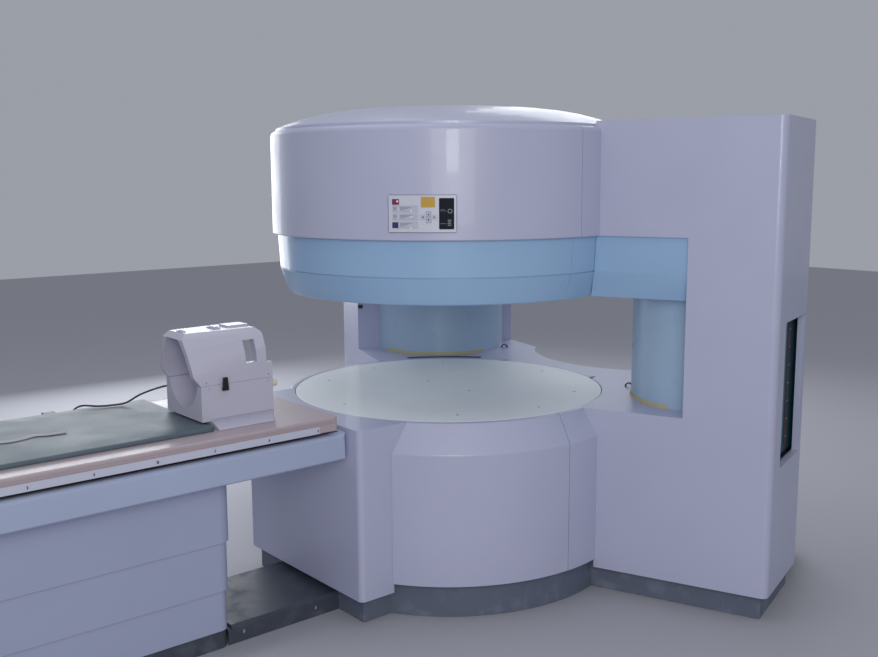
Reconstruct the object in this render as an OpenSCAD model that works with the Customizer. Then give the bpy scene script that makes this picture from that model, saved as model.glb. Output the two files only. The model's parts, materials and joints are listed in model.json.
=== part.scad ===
// Open two-column magnetic resonance scanner with its patient table and head coil.
// Millimetres, +Z up. The origin is on the floor under the axis of the magnet.
// +X runs along the patient, from the table (at -X) through the magnet.

/* [Magnet housing] */
// Radius of the white drum wall
drum_r = 725; // [700:5:760]
// Height of the drum wall's top edge
drum_top = 1800; // [1780:5:1820]
// Height of the flat top of the arms
arm_top = 1820; // [1810:5:1840]
// Lowest edge of the white drum wall
white_bottom = 1395; // [1380:5:1410]
// Height of the groove in the lower band
groove_z = 1260; // [1240:5:1280]
// Underside of the drum, the roof of the patient gap
gap_top = 1160; // [1150:5:1170]
// Top of the lower deck, the floor of the patient gap
deck_z = 730; // [720:5:735]
// Radius of the lower housing
base_r = 731; // [715:1:745]
// Radius of the deck's edge above the sloping shoulder
deck_r = 676; // [665:1:690]
// Height at which the shoulder meets the lower wall
shoulder_z = 628; // [600:1:650]
// Radius of the round pole cover
pole_cover_r = 650; // [620:1:652]
// Thickness of the moulded covers
cover_t = 6; // [4:1:8]
// Lower edge of the covers of the arms and the wing
cover_foot = 92; // [85:1:100]
// How far the dark skirt stands back under the covers
skirt_inset = 30; // [20:1:40]

/* [Arms and columns] */
// Angle of each arm from the patient axis
arm_angle = 69.25; // [68:0.25:71]
// Distance of the arms' front face in front of the magnet's axis
arm_front = 120; // [100:5:130]
// Distance of the arms' end face from the axis
arm_end = 1378; // [1360:1:1400]
// How far the arm's end face slants outwards over its depth
end_slant = 24; // [15:1:40]
// Depth of the arm's end face
end_depth = 416; // [400:1:430]
// Inner face of the post
post_in = 1050; // [1040:1:1060]
// Place of the column along the arm
col_along = 1057; // [1050:1:1065]
// Place of the column behind the arm's centre line
col_back = 332; // [320:1:340]
// Radius of the column's round cover
col_cover_r = 336; // [320:1:340]
// Radius of the iron column
col_r = 230; // [200:5:250]
// Radius of the hollow at the back, between the arms
back_hollow_r = 564; // [540:1:600]
// Place of that hollow's centre behind the axis
back_hollow_x = 1336; // [1320:1:1360]

/* [Wing towards the table] */
// Half the width of the wing
wing_w = 396; // [380:1:410]
// Distance of the wing's end face from the axis
wing_x = 756; // [740:1:758]

/* [Table] */
// Top of the cradle that carries the patient
cradle_top = 785; // [785:1:800]
// Thickness of the cradle
cradle_t = 50; // [40:1:50]
// Half the width of the cradle
cradle_w = 345; // [330:1:350]
// End of the cradle next to the magnet, from the axis
cradle_x = 802; // [800:1:810]
// Length of the cradle
cradle_len = 2148; // [2100:1:2200]
// Top of the table beam
beam_top = 717; // [710:1:720]
// Underside of the table beam
beam_bottom = 617; // [615:1:620]
// Half the width of the beam at its widest
beam_w = 335; // [325:1:340]
// End of the beam next to the magnet
beam_x = 761; // [760:1:765]
// Length of the beam
beam_len = 2169; // [2100:1:2200]
// Half the width of the pedestal's base
pedestal_w = 210; // [200:1:220]
// End of the pedestal's base next to the magnet
pedestal_x = 1190; // [1180:1:1200]
// Length of the pedestal's base
pedestal_len = 1250; // [1100:10:1300]
// Radius of the lift's outer tubes
lift_r = 85; // [80:1:90]

/* [Head coil] */
// Front of the lower half of the coil
coil_x0 = -1250; // [-1260:1:-1240]
// Back of the coil
coil_x1 = -975; // [-980:1:-970]
// Half the width of the coil
coil_w = 132; // [128:1:136]
// Side offset of the coil from the table's middle
coil_y = -60; // [-65:1:-55]
// Height of the line on which the coil parts
coil_part_z = 927; // [920:1:930]
// Top of the coil
coil_top_z = 1100; // [1090:1:1110]

/* [Hidden] */

white = "#c9c8d6";
deck_white = "#cfc9cf";
blue = "#8fa6bd";
iron = "#5c6068";
dark = "#5a6270";
steel = "#b8bcc4";
teal = "#6f8d92";
eps = 1;
smooth = 96;

// Round points of an arc about (cx, cy), from angle a0 to a1
function arc_points(cx, cy, r, a0, a1, n) =
  [for (i = [0:n]) let (a = a0 + (a1 - a0) * i / n) [cx + r * cos(a), cy + r * sin(a)]];

// The arm's own frame: x runs outwards along the arm, y towards the back.
// side is 1 for the arm near the control panel and -1 for the far one.
module on_arm(side) {
  mirror([0, side < 0 ? 1 : 0, 0]) rotate([0, 0, -arm_angle]) children();
}

// A closed box between two corners
module block(a, b) { translate(a) cube(b - a); }

// A round bar between two heights
module bar(r, z0, z1) { translate([0, 0, z0]) cylinder(h = z1 - z0, r = r, $fn = smooth); }

// A rectangle with round corners
module round_rect(x0, y0, x1, y1, r) {
  polygon(concat(arc_points(x0 + r, y0 + r, r, 180, 270, 5), arc_points(x1 - r, y0 + r, r, 270, 360, 5),
    arc_points(x1 - r, y1 - r, r, 0, 90, 5), arc_points(x0 + r, y1 - r, r, 90, 180, 5)));
}

/* Plans of the housing, drawn inset by i */

corner_r = 28;
arm_knee = [777, 773];
arm_heel = [1337, 723];
seam_along = 490;

// The arm's outline in its own frame, anticlockwise from its front plane
arm_line = [[0, -arm_front], [arm_end, -arm_front], [arm_end + end_slant, end_depth - arm_front],
  arm_heel, arm_knee];

function unit(v) = v / norm(v);
function cross2(a, b) = a[0] * b[1] - a[1] * b[0];
// A vector i long, to the inner side of the edge from a to b
function inward(a, b, i) = let (d = unit(b - a)) [-d[1] * i, d[0] * i];
// The corner p between its neighbours a and b, after both its edges have moved in by i
function inset_corner(a, p, b, i) = let (p1 = a + inward(a, p, i), p2 = p + inward(p, b, i))
  p1 + (p - a) * cross2(p2 - p1, b - p) / cross2(p - a, b - p);
// The same corner, rounded
function round_corner(a, p, b, i, r) = let (
    c = inset_corner(a, p, b, i), u = unit(a - p), v = unit(b - p), h = acos(u * v) / 2, rr = max(r - i, 2),
    m = c + unit(u + v) * rr / sin(h), s = c + u * rr / tan(h) - m, a0 = atan2(s[1], s[0]))
  arc_points(m[0], m[1], rr, a0, a0 + 180 - 2 * h, 6);

module arm_plan(i) {
  l = arm_line;
  polygon(concat([[500, 760], [0, 0], [0, -arm_front + i]],
    round_corner(l[0], l[1], l[2], i, corner_r), round_corner(l[1], l[2], l[3], i, 14),
    round_corner(l[2], l[3], l[4], i, 20), [arm_knee + inward(arm_heel, arm_knee, i)]));
}

// Everything behind the drum, between the arms, up to the hollow
module rear_fill() { polygon([[0, 0], [1000, -449], [1000, 449]]); }

module hollow(i) { translate([back_hollow_x, 0]) circle(r = back_hollow_r + i, $fn = smooth); }

// The zone of one arm, outside the cover at the back
module arm_zone(side) { on_arm(side) translate([seam_along, -400]) square([1200, 1400]); }

module arm_cover_plan(side, i) {
  difference() {
    intersection() { on_arm(side) arm_plan(i); arm_zone(side); }
    hollow(i);
  }
}

module rear_cover_plan(i) {
  difference() {
    rear_fill();
    hollow(i);
    arm_zone(1);
    arm_zone(-1);
  }
}

module whole_plan(i) {
  difference() {
    union() {
      circle(r = base_r - i, $fn = smooth);
      on_arm(1) arm_plan(i);
      on_arm(-1) arm_plan(i);
      rear_fill();
      round_rect(-wing_x + i, -wing_w + i, -100, wing_w - i, max(22 - i, 2));
    }
    hollow(i);
  }
}

module slab(z0, z1) { translate([0, 0, z0]) linear_extrude(z1 - z0) children(); }

/* Iron and coils inside */

yoke_t = 230;
lower_yoke_z = 130;
upper_yoke_z = 1530;
core_r = 560;
magnet_t = 200;
pole_t = 100;
rim_t = 30;
gradient_t = 40;
transmit_t = 22;
face_t = 8;
yoke_arm_w = 280;

module at_column(side) { on_arm(side) translate([col_along, col_back]) children(); }

// Plan of a yoke: a round plate with an arm out to each column
module yoke_plan() {
  dir = arm_angle - atan2(col_back, col_along);
  reach = norm([col_along, col_back]);
  half = asin(yoke_arm_w / core_r);
  polygon(concat(arc_points(0, 0, core_r, dir + half, 360 - dir - half, 60),
    arc_points(reach * cos(dir), -reach * sin(dir), yoke_arm_w, -dir - 90, -dir + 90, 30),
    arc_points(0, 0, core_r, half - dir, dir - half, 12),
    arc_points(reach * cos(dir), reach * sin(dir), yoke_arm_w, dir - 90, dir + 90, 30)));
}
module yoke_plate(z) {
  color(iron) slab(z, z + yoke_t) difference() {
    yoke_plan();
    for (side = [1, -1]) at_column(side) circle(r = 40, $fn = smooth);
  }
}

module lower_yoke() { yoke_plate(lower_yoke_z); }
module upper_yoke() { yoke_plate(upper_yoke_z); }

// A column stands between the yokes, with a spigot in each
module yoke_column(side) {
  color(iron) at_column(side) {
    bar(col_r, lower_yoke_z + yoke_t, upper_yoke_z);
    bar(39.95, lower_yoke_z + yoke_t - 100, upper_yoke_z + 100);
  }
}
module near_yoke_column() { yoke_column(1); }
module far_yoke_column() { yoke_column(-1); }

module levelling_feet() {
  color(dark) {
    bar(150, 0, lower_yoke_z);
    for (a = [60:60:300]) rotate([0, 0, a]) translate([430, 0]) {
      bar(70, 0, 20);
      bar(35, 20, lower_yoke_z);
    }
    for (side = [1, -1]) at_column(side) {
      bar(110, 0, 20);
      bar(60, 20, lower_yoke_z);
    }
  }
}

// The mid-height of the patient gap: the upper pole is the lower one turned over
gap_mid = (deck_z + gap_top) / 2;
module upper_pole() { translate([0, 0, 2 * gap_mid]) mirror([0, 0, 1]) children(); }

face_z = deck_z - face_t;
transmit_z = face_z - transmit_t;
gradient_z = transmit_z - gradient_t;
pole_z = gradient_z - pole_t;
magnet_z = pole_z - magnet_t;

module magnet() { color("#6a6660") bar(core_r, magnet_z, pole_z); }
module pole_piece() {
  color(steel) rotate_extrude($fn = smooth)
    polygon([[0, pole_z], [core_r, pole_z], [core_r, gradient_z + rim_t], [core_r - 40, gradient_z + rim_t],
      [core_r - 50, gradient_z], [0, gradient_z]]);
}
module gradient_coil() { color("#b07a4a") bar(core_r - 52, gradient_z, transmit_z); }
module transmit_coil() {
  color("#a9b7a4") difference() {
    bar(600, transmit_z, face_z);
    bar(60, transmit_z - eps, face_z + eps);
  }
}
module both_poles() { children(); upper_pole() children(); }
module magnets() { both_poles() magnet(); }
module pole_pieces() { both_poles() pole_piece(); }
module gradient_coils() { both_poles() gradient_coil(); }
module transmit_coils() { both_poles() transmit_coil(); }

// Posts on the upper yoke that carry the covers above it
module cover_posts() {
  color(steel) {
    for (a = [75:70:285]) rotate([0, 0, a]) translate([440, 0]) bar(18, upper_yoke_z + yoke_t, cap_at(440) - 6);
    for (side = [1, -1]) at_column(side) bar(18, upper_yoke_z + yoke_t, arm_top - cover_t);
  }
}

/* Covers of the lower housing */

ring_foot = 127;

// Section of the round lower wall, its sloping shoulder and its top flange
module ring_section(t, inner) {
  polygon(concat([[base_r, ring_foot]], arc_points(base_r - 16, shoulder_z - 8, 16, 0, 28, 3),
    arc_points(deck_r - 8, deck_z - 8, 8, 28, 90, 4),
    [[inner, deck_z], [inner, deck_z - t], [deck_r - 10, deck_z - t],
      [base_r - t, shoulder_z - 8], [base_r - t, ring_foot]]));
}

// The space inside that ring
module ring_space() {
  rotate_extrude($fn = smooth)
    polygon([[0, 0], [base_r - cover_t - 0.5, 0], [base_r - cover_t - 0.5, shoulder_z - 8],
      [deck_r - 10.5, deck_z - cover_t - 0.5], [0, deck_z - cover_t - 0.5]]);
}

// Part of a ring between two angles
module ring_part(a0, a1) { rotate([0, 0, a0]) rotate_extrude(angle = a1 - a0, $fn = smooth) children(); }

side_seam = 92;
strip_end = 78.4;

module side_cover(side) {
  color(white) mirror([0, side > 0 ? 0 : 1, 0]) difference() {
    ring_part(-180, -side_seam - 0.15) ring_section(cover_t, pole_cover_r + 3);
    block([-base_r - 10, -wing_w - 0.5, 0], [0, 10, deck_z + 10]);
  }
}
module near_side_cover() { side_cover(1); }
module far_side_cover() { side_cover(-1); }

module wing_cover() {
  r = 22;
  color(deck_white) difference() {
    slab(cover_foot, deck_z) round_rect(-wing_x, -wing_w, -300, wing_w, r);
    slab(cover_foot - eps, deck_z - cover_t)
      round_rect(-wing_x + cover_t, -wing_w + cover_t, -200, wing_w - cover_t, r - cover_t);
    ring_space();
    bar(pole_cover_r + 3, deck_z - 20, deck_z + eps);
    block([-420, -wing_w - eps, cover_foot - eps], [-290, wing_w + eps, deck_z + eps]);
  }
}

module lower_pole_cover() {
  color("#b4bfc0") difference() {
    rotate_extrude($fn = 128)
      polygon([[0, face_z], [pole_cover_r, face_z], [pole_cover_r, deck_z - 1.5], [pole_cover_r - 1.5, deck_z],
        [0, deck_z]]);
    pole_screw_places() translate([0, 0, deck_z - 4]) cylinder(h = 5, r1 = 4, r2 = 9, $fn = 24);
  }
}
// The outer ring of the pole cover's screws, and the two near its middle
module pole_screw_places() {
  for (a = [-4, -54, -90, -127, 126, 90, 52, 180]) rotate([0, 0, a]) translate([540, 0, 0]) children();
  for (a = [90, -90]) rotate([0, 0, a]) translate([136, 0, 0]) children();
}
module cover_screws() {
  color("#e4e4ea") {
    pole_screw_places() translate([0, 0, deck_z - 4]) cylinder(h = 3.5, r1 = 4, r2 = 7.5, $fn = 24);
    for (x = [-1130, -830]) translate([x, 3 - duct_w, duct_h / 2]) rotate([90, 0, 0])
      cylinder(h = 6, r = 7, $fn = 24);
  }
}

module rear_lower_cover() {
  color(deck_white) difference() {
    slab(cover_foot, deck_z) rear_cover_plan(0);
    slab(cover_foot - eps, deck_z - cover_t) difference() {
      offset_rear();
      hollow(cover_t);
    }
    bar(pole_cover_r + 3, deck_z - 20, deck_z + eps);
    bar(deck_r, 0, deck_z - cover_t);
  }
}

// The rear zone without its hollow, for what is cleared inside it
module offset_rear() { polygon([[0, 0], [1010, -453], [1010, 453]]); }

rim_r = drum_r - 22;

module rear_upper_cover() {
  color(white) difference() {
    slab(gap_top, arm_top) rear_cover_plan(0);
    slab(gap_top + cover_t, drum_top - 12) difference() { offset_rear(); hollow(cover_t); }
    slab(drum_top - 13, arm_top - cover_t) difference() {
      offset_rear();
      hollow(cover_t);
      circle(r = rim_r + cover_t, $fn = smooth);
    }
    bar(rim_r + 0.5, drum_top - 12, arm_top + eps);
    bar(drum_r - 19, gap_top - eps, drum_top - 12);
  }
}

// The dark skirt on the floor, with the flange that carries the covers
module base_skirt() {
  color(dark) {
    difference() {
      slab(0, ring_foot) whole_plan(skirt_inset);
      slab(-eps, ring_foot + eps) whole_plan(skirt_inset + 5);
    }
    difference() {
      slab(ring_foot, ring_foot + 5) whole_plan(cover_t + 0.5);
      slab(ring_foot - eps, ring_foot + 6) whole_plan(skirt_inset + 8);
    }
  }
}

/* Covers of the arms */

// The shell of one arm: lower arm, post and upper arm in one moulding
module arm_cover(side) {
  color(white) difference() {
    union() {
      difference() {
        arm_mass(side, 0);
        difference() {
          arm_mass(side, cover_t);
          // a lip along the lower edge of the upper arm
          difference() {
            slab(white_bottom - 2 * eps, white_bottom + cover_t) arm_cover_plan(side, -eps);
            slab(white_bottom - 3 * eps, white_bottom + cover_t + eps) arm_cover_plan(side, 26);
          }
          // a wall round the drum's cap
          bar(rim_r + cover_t, drum_top - 22, arm_top + eps);
        }
        // the iron column passes through the ledge into the round cover
        at_column(side) bar(col_r + 70, deck_z - 20, white_bottom + 10);
        // the magnet lies inside the round walls
        ring_space();
        bar(drum_r - cover_t - 0.5, white_bottom - eps, drum_top - 30);
        bar(rim_r + 0.5, drum_top - 31, arm_top + eps);
        if (side > 0) access_opening();
      }
      mirror([0, side < 0 ? 1 : 0, 0]) {
        ring_part(-side_seam, -strip_end) ring_section(cover_t, pole_cover_r - 12);
        ring_part(-drum_seam, -strip_end) drum_section();
      }
    }
    bar(pole_cover_r + 3, deck_z - 20, deck_z + eps);
  }
}

module arm_mass(side, i) {
  low = i > 0 ? eps : 0;
  slab(cover_foot - low, deck_z - i) arm_cover_plan(side, i);
  slab(white_bottom + (i > 0 ? -eps : 0), arm_top - i) arm_cover_plan(side, i);
  slab(deck_z - i - eps, white_bottom + i + eps) intersection() {
    arm_cover_plan(side, i);
    on_arm(side) translate([post_in + i, -400]) square([600, 1500]);
  }
}

hatch_y0 = 104;
hatch_y1 = 392;
hatch_z0 = 560;
hatch_z1 = 1095;
// The slanted end face of the near arm: y runs along it from its front corner, x points out
module on_end() {
  on_arm(1) translate([arm_end, -arm_front, 0]) rotate([0, 0, -atan2(end_slant, end_depth)]) children();
}

// The open hatch in the near arm's end face
module access_opening() {
  on_end() translate([-40, 0, 0]) rotate([90, 0, 90])
    linear_extrude(80) round_rect(hatch_y0, hatch_z0, hatch_y1, hatch_z1, 10);
}

// A light jamb round the inside of the hatch
module hatch_frame() {
  color("#b9bac6") on_end() translate([-cover_t - 20.1, 0, 0]) rotate([90, 0, 90])
    linear_extrude(20) difference() {
      round_rect(hatch_y0 - 4, hatch_z0 - 4, hatch_y1 + 4, hatch_z1 + 4, 14);
      round_rect(hatch_y0 + 1, hatch_z0 + 1, hatch_y1 - 1, hatch_z1 - 1, 9);
    }
}

module near_arm_cover() { arm_cover(1); }
module far_arm_cover() { arm_cover(-1); }

// The round cover in front of a column, open towards the post
module column_cover(side) {
  color(blue) intersection() {
    at_column(side) difference() {
      bar(col_cover_r, deck_z, gap_top);
      bar(col_cover_r - 4, deck_z - eps, gap_top + eps);
    }
    on_arm(side) block([col_along - 400, -100, deck_z - eps], [post_in, 800, gap_top + eps]);
  }
}
module near_column_cover() { column_cover(1); }
module far_column_cover() { column_cover(-1); }

// Cream strips around the foot of each round cover
module column_foot_strips() {
  color("#c9b77a") for (side = [1, -1]) intersection() {
    at_column(side) difference() {
      bar(col_cover_r + 4, deck_z, deck_z + 12);
      bar(col_cover_r, deck_z - eps, deck_z + 20);
    }
    on_arm(side) block([col_along - 400, col_back - 330, deck_z - eps], [col_along - 100, col_back + 125, deck_z + 20]);
  }
}

/* Drum */

drum_seam = 88;

// Section of the white wall, rounded over at its top, with a return at its foot
module drum_section() {
  t = cover_t;
  polygon(concat([[drum_r - 30, white_bottom], [drum_r - 3, white_bottom], [drum_r, white_bottom + 3]],
    arc_points(drum_r - 22, drum_top - 22, 22, 0, 90, 6),
    [[rim_r, drum_top - t], [drum_r - 20, drum_top - t - 4], [drum_r - t, drum_top - 26],
      [drum_r - t, white_bottom + t], [drum_r - 30, white_bottom + t]]));
}

module drum_front_cover() {
  color(white) ring_part(drum_seam + 0.15, 360 - drum_seam - 0.15) drum_section();
}

cap_z = 1890;
cap_r = 712;
// Height of the domed cap at radius r
function cap_at(r) = drum_top + 5 + (cap_z - drum_top - 5) * (1 - pow(r / cap_r, 4));
cap_steps = [rim_r, 696, 688, 678, 665, 645, 620, 590, 550, 500, 440, 370, 290, 190, 0];
module drum_top_cap() {
  color(white) rotate_extrude($fn = smooth)
    polygon(concat([[0, cap_z - 6]], [for (k = [len(cap_steps) - 2:-1:1]) [cap_steps[k], cap_at(cap_steps[k]) - 6]],
      [[rim_r, drum_top - 6]], [for (r = cap_steps) [r, cap_at(r)]]));
}

band_top_r = 705;
band_mid_r = 698;
band_low_r = 664;
module drum_band() {
  t = cover_t;
  color(blue) difference() {
    rotate_extrude($fn = 128) polygon([[band_top_r, white_bottom], [band_mid_r, groove_z + 2],
      [band_mid_r - 5, groove_z + 2], [band_mid_r - 5, groove_z - 2], [band_mid_r, groove_z - 2],
      [band_low_r + 3, gap_top + 4], [band_low_r - 2, gap_top], [pole_cover_r + 5, gap_top],
      [pole_cover_r + 5, gap_top + t], [band_low_r - 4, gap_top + t], [band_mid_r - t - 4, groove_z - 4],
      [band_mid_r - t - 4, groove_z + 6], [band_top_r - t - 2, white_bottom]]);
    for (a = [90, -90]) rotate([0, 0, a]) block([band_low_r, -1, gap_top + 20], [band_top_r + 2, 1, 1400]);
  }
}

module upper_pole_cover() {
  color("#b9c4cc") rotate_extrude($fn = 128)
    polygon([[0, gap_top], [pole_cover_r + 3, gap_top], [pole_cover_r + 4, gap_top + 2],
      [pole_cover_r + 4, gap_top + face_t], [0, gap_top + face_t]]);
}

// The blue underside of an upper arm, between the drum and the post
band_back = 728;
module arm_band_mass(side, i) {
  f = i - arm_front;
  b = band_back - i;
  difference() {
    on_arm(side) translate([seam_along - i, 0, 0]) rotate([90, 0, 90])
      linear_extrude(post_in - seam_along + 2 * i)
        polygon([[f + 12, white_bottom + i], [f + 12, groove_z + i / 3], [f + 50, gap_top + i],
          [b - 30, gap_top + i], [b, groove_z + i / 3], [b, white_bottom + i]]);
    slab(gap_top - eps, white_bottom + 10) hollow(i);
  }
}
module arm_band(side) {
  color(blue) difference() {
    arm_band_mass(side, 0);
    arm_band_mass(side, cover_t);
    rotate_extrude($fn = 128) polygon([[0, gap_top - 5], [band_low_r + 4, gap_top - 5],
      [band_mid_r + 1.5, groove_z + 3], [band_top_r + 1.5, white_bottom + 9], [0, white_bottom + 9]]);
    at_column(side) bar(col_r + 70, gap_top - eps, gap_top + 20);
  }
}
module near_arm_band() { arm_band(1); }
module far_arm_band() { arm_band(-1); }

/* Control panel on the drum */

panel_az = 222.3;
panel_w = 245;
panel_h = 134;
panel_z = 1490;
panel_out = 3;

// What lies on the drum's wall within a panel-shaped frame
module on_drum(u0, z0, u1, z1, d0, d1, r) {
  intersection() {
    difference() {
      bar(drum_r + d1, panel_z - panel_h, panel_z + panel_h);
      bar(drum_r + d0, panel_z - panel_h - eps, panel_z + panel_h + eps);
    }
    rotate([0, 0, panel_az]) rotate([90, 0, 90]) translate([0, panel_z, 500])
      linear_extrude(400) round_rect(u0, z0, u1, z1, r);
  }
}

module control_panel() {
  color("#dcdce6") on_drum(-panel_w / 2, -panel_h / 2, panel_w / 2, panel_h / 2, 0, panel_out, 10);
}

key_rows = 3;
key_pitch = 28;
module panel_keys() {
  color("#d5d6dc") {
    for (row = [0:key_rows - 1]) {
      z = 16.5 - row * key_pitch;
      on_drum(-105, z - 9, -87, z + 9, panel_out, panel_out + 1.2, 2);
      on_drum(-81, z - 9, -14, z + 9, panel_out, panel_out + 1.2, 2);
    }
    for (p = [[0, 10.5], [0, -10.5], [21, 0], [-21, 0]])
      on_drum(23.5 + p[0] - 9.5, -12 + p[1] - 9.5, 23.5 + p[0] + 9.5, -12 + p[1] + 9.5, panel_out, panel_out + 1.2, 2);
    on_drum(-105, 31, -80, 51, panel_out, panel_out + 1.2, 2);
    on_drum(-2, 22, 46, 57, panel_out, panel_out + 0.8, 1);
  }
}

module panel_display() {
  color("#1d2024") on_drum(60, -54, 112, 54, panel_out, panel_out + 1, 3);
}

/* Floor duct and pedestal */

duct_w = 205;
duct_h = 68;
// Section of the duct, inset by i
module duct_section(h, i) {
  w = duct_w - i;
  polygon([[-w, i > 0 ? -eps : 0], [w, i > 0 ? -eps : 0], [w, h - 10 - i / 2], [w - 10 + i / 2, h - i],
    [-w + 10 - i / 2, h - i], [-w, h - 10 - i / 2]]);
}
module duct_length(x0, x1, h) {
  translate([x0, 0, 0]) rotate([90, 0, 90]) linear_extrude(x1 - x0) difference() {
    duct_section(h, 0);
    duct_section(h, 5);
  }
}
// Low where the lowered table covers come over it
module floor_duct() {
  color(dark) {
    duct_length(-pedestal_x, -pedestal_x + 14, 58);
    duct_length(-pedestal_x + 14, -wing_x + skirt_inset, duct_h);
  }
}

base_h = 65;
// Plan of the pedestal, larger than its base by g on every side
module pedestal_plan(g) {
  round_rect(-pedestal_x - pedestal_len - g, -pedestal_w - g, -pedestal_x + g, pedestal_w + g, 30 + g);
}
module tier(g, z0, z1) {
  color(white) slab(z0, z1) difference() { pedestal_plan(g); pedestal_plan(g - 3); }
}

floor_plate_t = 12;
module pedestal_base() {
  color(dark) {
    slab(0, floor_plate_t) pedestal_plan(0);
    slab(floor_plate_t, base_h) difference() { pedestal_plan(0); pedestal_plan(-5); }
  }
}
module tier_3_cover() {
  tier(4, base_h, 280);
  color(white) slab(base_h, base_h + 4) difference() { pedestal_plan(4); pedestal_plan(-8); }
}
module tier_2_cover() { tier(12, 210, 460); }
module tier_1_cover() { tier(20, 385, beam_bottom); }

lift_at = [-pedestal_x - 300, -pedestal_x - pedestal_len + 300];
tube_t = 6;
tube_gap = 1;
middle_r = lift_r - tube_t - tube_gap;
inner_r = middle_r - tube_t - tube_gap;
module tube(r, z0, z1) { difference() { bar(r, z0, z1); bar(r - tube_t, z0 - eps, z1 + eps); } }

module lift_outer_tubes() { color(steel) for (x = lift_at) translate([x, 0, 0]) tube(lift_r, floor_plate_t, 285); }
// Middle tubes with the plate that carries the second tier
module lift_middle_stage() {
  color(steel) for (x = lift_at) translate([x, 0, 0]) {
    tube(middle_r, 165, 455);
    difference() {
      block([-110, -pedestal_w - 9, 440], [110, pedestal_w + 9, 446]);
      bar(middle_r - 2, 430, 450);
    }
  }
}
module lift_inner_tubes() { color(steel) for (x = lift_at) translate([x, 0, 0]) tube(inner_r, 317, beam_bottom); }

// Closed motor and gear case of the lift, on the pedestal's floor plate
module lift_drive() {
  mid = (lift_at[0] + lift_at[1]) / 2;
  color("#4a4f57") translate([mid, 0, 0]) {
    block([-90, -70, floor_plate_t], [90, 70, 130]);
    translate([90, 0, 75]) rotate([0, 90, 0]) cylinder(h = 130, r = 48, $fn = 48);
  }
}

/* Table beam and cradle */

beam_x0 = -beam_x - beam_len;
module beam_section() {
  polygon(concat([[-beam_w + 14, beam_bottom], [beam_w - 14, beam_bottom]],
    [[beam_w - 9, beam_bottom + 5]], arc_points(beam_w - 16, beam_top - 16, 16, 0, 90, 6),
    arc_points(-beam_w + 16, beam_top - 16, 16, 90, 180, 6), [[-beam_w + 9, beam_bottom + 5]]));
}
module table_beam() {
  color(white) difference() {
    intersection() {
      translate([beam_x0, 0, 0]) rotate([90, 0, 90]) linear_extrude(beam_len) beam_section();
      slab(beam_bottom - eps, beam_top + eps) round_rect(beam_x0, -beam_w, -beam_x, beam_w, 24);
    }
    block([beam_x0 + 14, -beam_w + 30, beam_bottom + 8], [-beam_x - 14, beam_w - 30, beam_top + eps]);
  }
}

rail_y = 230;
module beam_rails() {
  color(steel) for (s = [1, -1]) translate([0, s * rail_y, 0]) difference() {
    block([beam_x0 + 20, -20, beam_bottom + 8], [-beam_x - 20, 20, 731]);
    block([beam_x0 + 10, -8, 671], [-beam_x - 10, 8, 735]);
  }
}

// Closed drive unit at the end of the beam, with its belt between the rails
module cradle_drive() {
  x = -beam_x - 260;
  color("#3c4148") {
    block([x, -90, beam_bottom + 8], [x + 170, 90, beam_top - 6]);
    block([beam_x0 + 120, -16, 700], [x, 16, 708]);
    block([beam_x0 + 80, -40, beam_bottom + 8], [beam_x0 + 120, 40, beam_top - 6]);
  }
}

cradle_x0 = -cradle_x - cradle_len;
cradle_z0 = cradle_top - cradle_t;
// Section of the cradle: a rim with a round edge over a shallow channel
module cradle_section() {
  w = cradle_w;
  h = cradle_top;
  half = concat([[w - 4, cradle_z0], [w - 4, h - 24], [w - 7, h - 23], [w - 7, h - 13], [w, h - 12]],
    arc_points(w - 5, h - 5, 5, 0, 90, 5), [[w - 10, h - 0.5], [w - 14, pad_low]]);
  n = len(half);
  polygon(concat(half, [for (i = [0:n - 1]) [-half[n - 1 - i][0], half[n - 1 - i][1]]]));
}
module cradle() {
  color(deck_white) difference() {
    intersection() {
      translate([cradle_x0, 0, 0]) rotate([90, 0, 90]) linear_extrude(cradle_len) cradle_section();
      slab(cradle_z0 - eps, cradle_top + eps) round_rect(cradle_x0, -cradle_w, -cradle_x, cradle_w, 24);
    }
    block([cradle_x0 + 20, -cradle_w + 20, cradle_z0 - eps], [-cradle_x - 20, cradle_w - 20, cradle_top - 12]);
  }
}

runner_at = [-2850, -2250];
module cradle_runners() {
  color(steel) for (x = runner_at, s = [1, -1])
    block([x - 45, s * rail_y - 7, 690], [x + 45, s * rail_y + 7, cradle_top - 12]);
}

strip_x0 = cradle_x0 + 60;
strip_x1 = -cradle_x - 82;
module cradle_side_strips() {
  color("#d8d8e2") for (s = [1, -1]) mirror([0, s < 0 ? 1 : 0, 0])
    block([strip_x0, cradle_w - 4, cradle_z0], [strip_x1, cradle_w + 1, cradle_z0 + 25]);
}
screw_pitch = 197;
module strip_screws() {
  color(steel) for (x = [strip_x1 - 8:-screw_pitch:strip_x0], s = [1, -1])
    mirror([0, s < 0 ? 1 : 0, 0]) translate([x, cradle_w + 1, cradle_z0 + 12]) rotate([-90, 0, 0])
      cylinder(h = 1.5, r1 = 5, r2 = 3.5, $fn = 24);
}

pad_top = 803;
pad_low = cradle_top - 2;
module mattress() {
  color(teal) slab(pad_low, pad_top) round_rect(cradle_x0 + 40, -250, -1222, 330, 18);
}
module mattress_strap() {
  color("#d9d8d2") block([cradle_x0 + 260, -15, pad_top], [-1640, 15, pad_top + 2]);
}

/* Head coil */

module coil_frame() { translate([0, coil_y, 0]) children(); }

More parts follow.
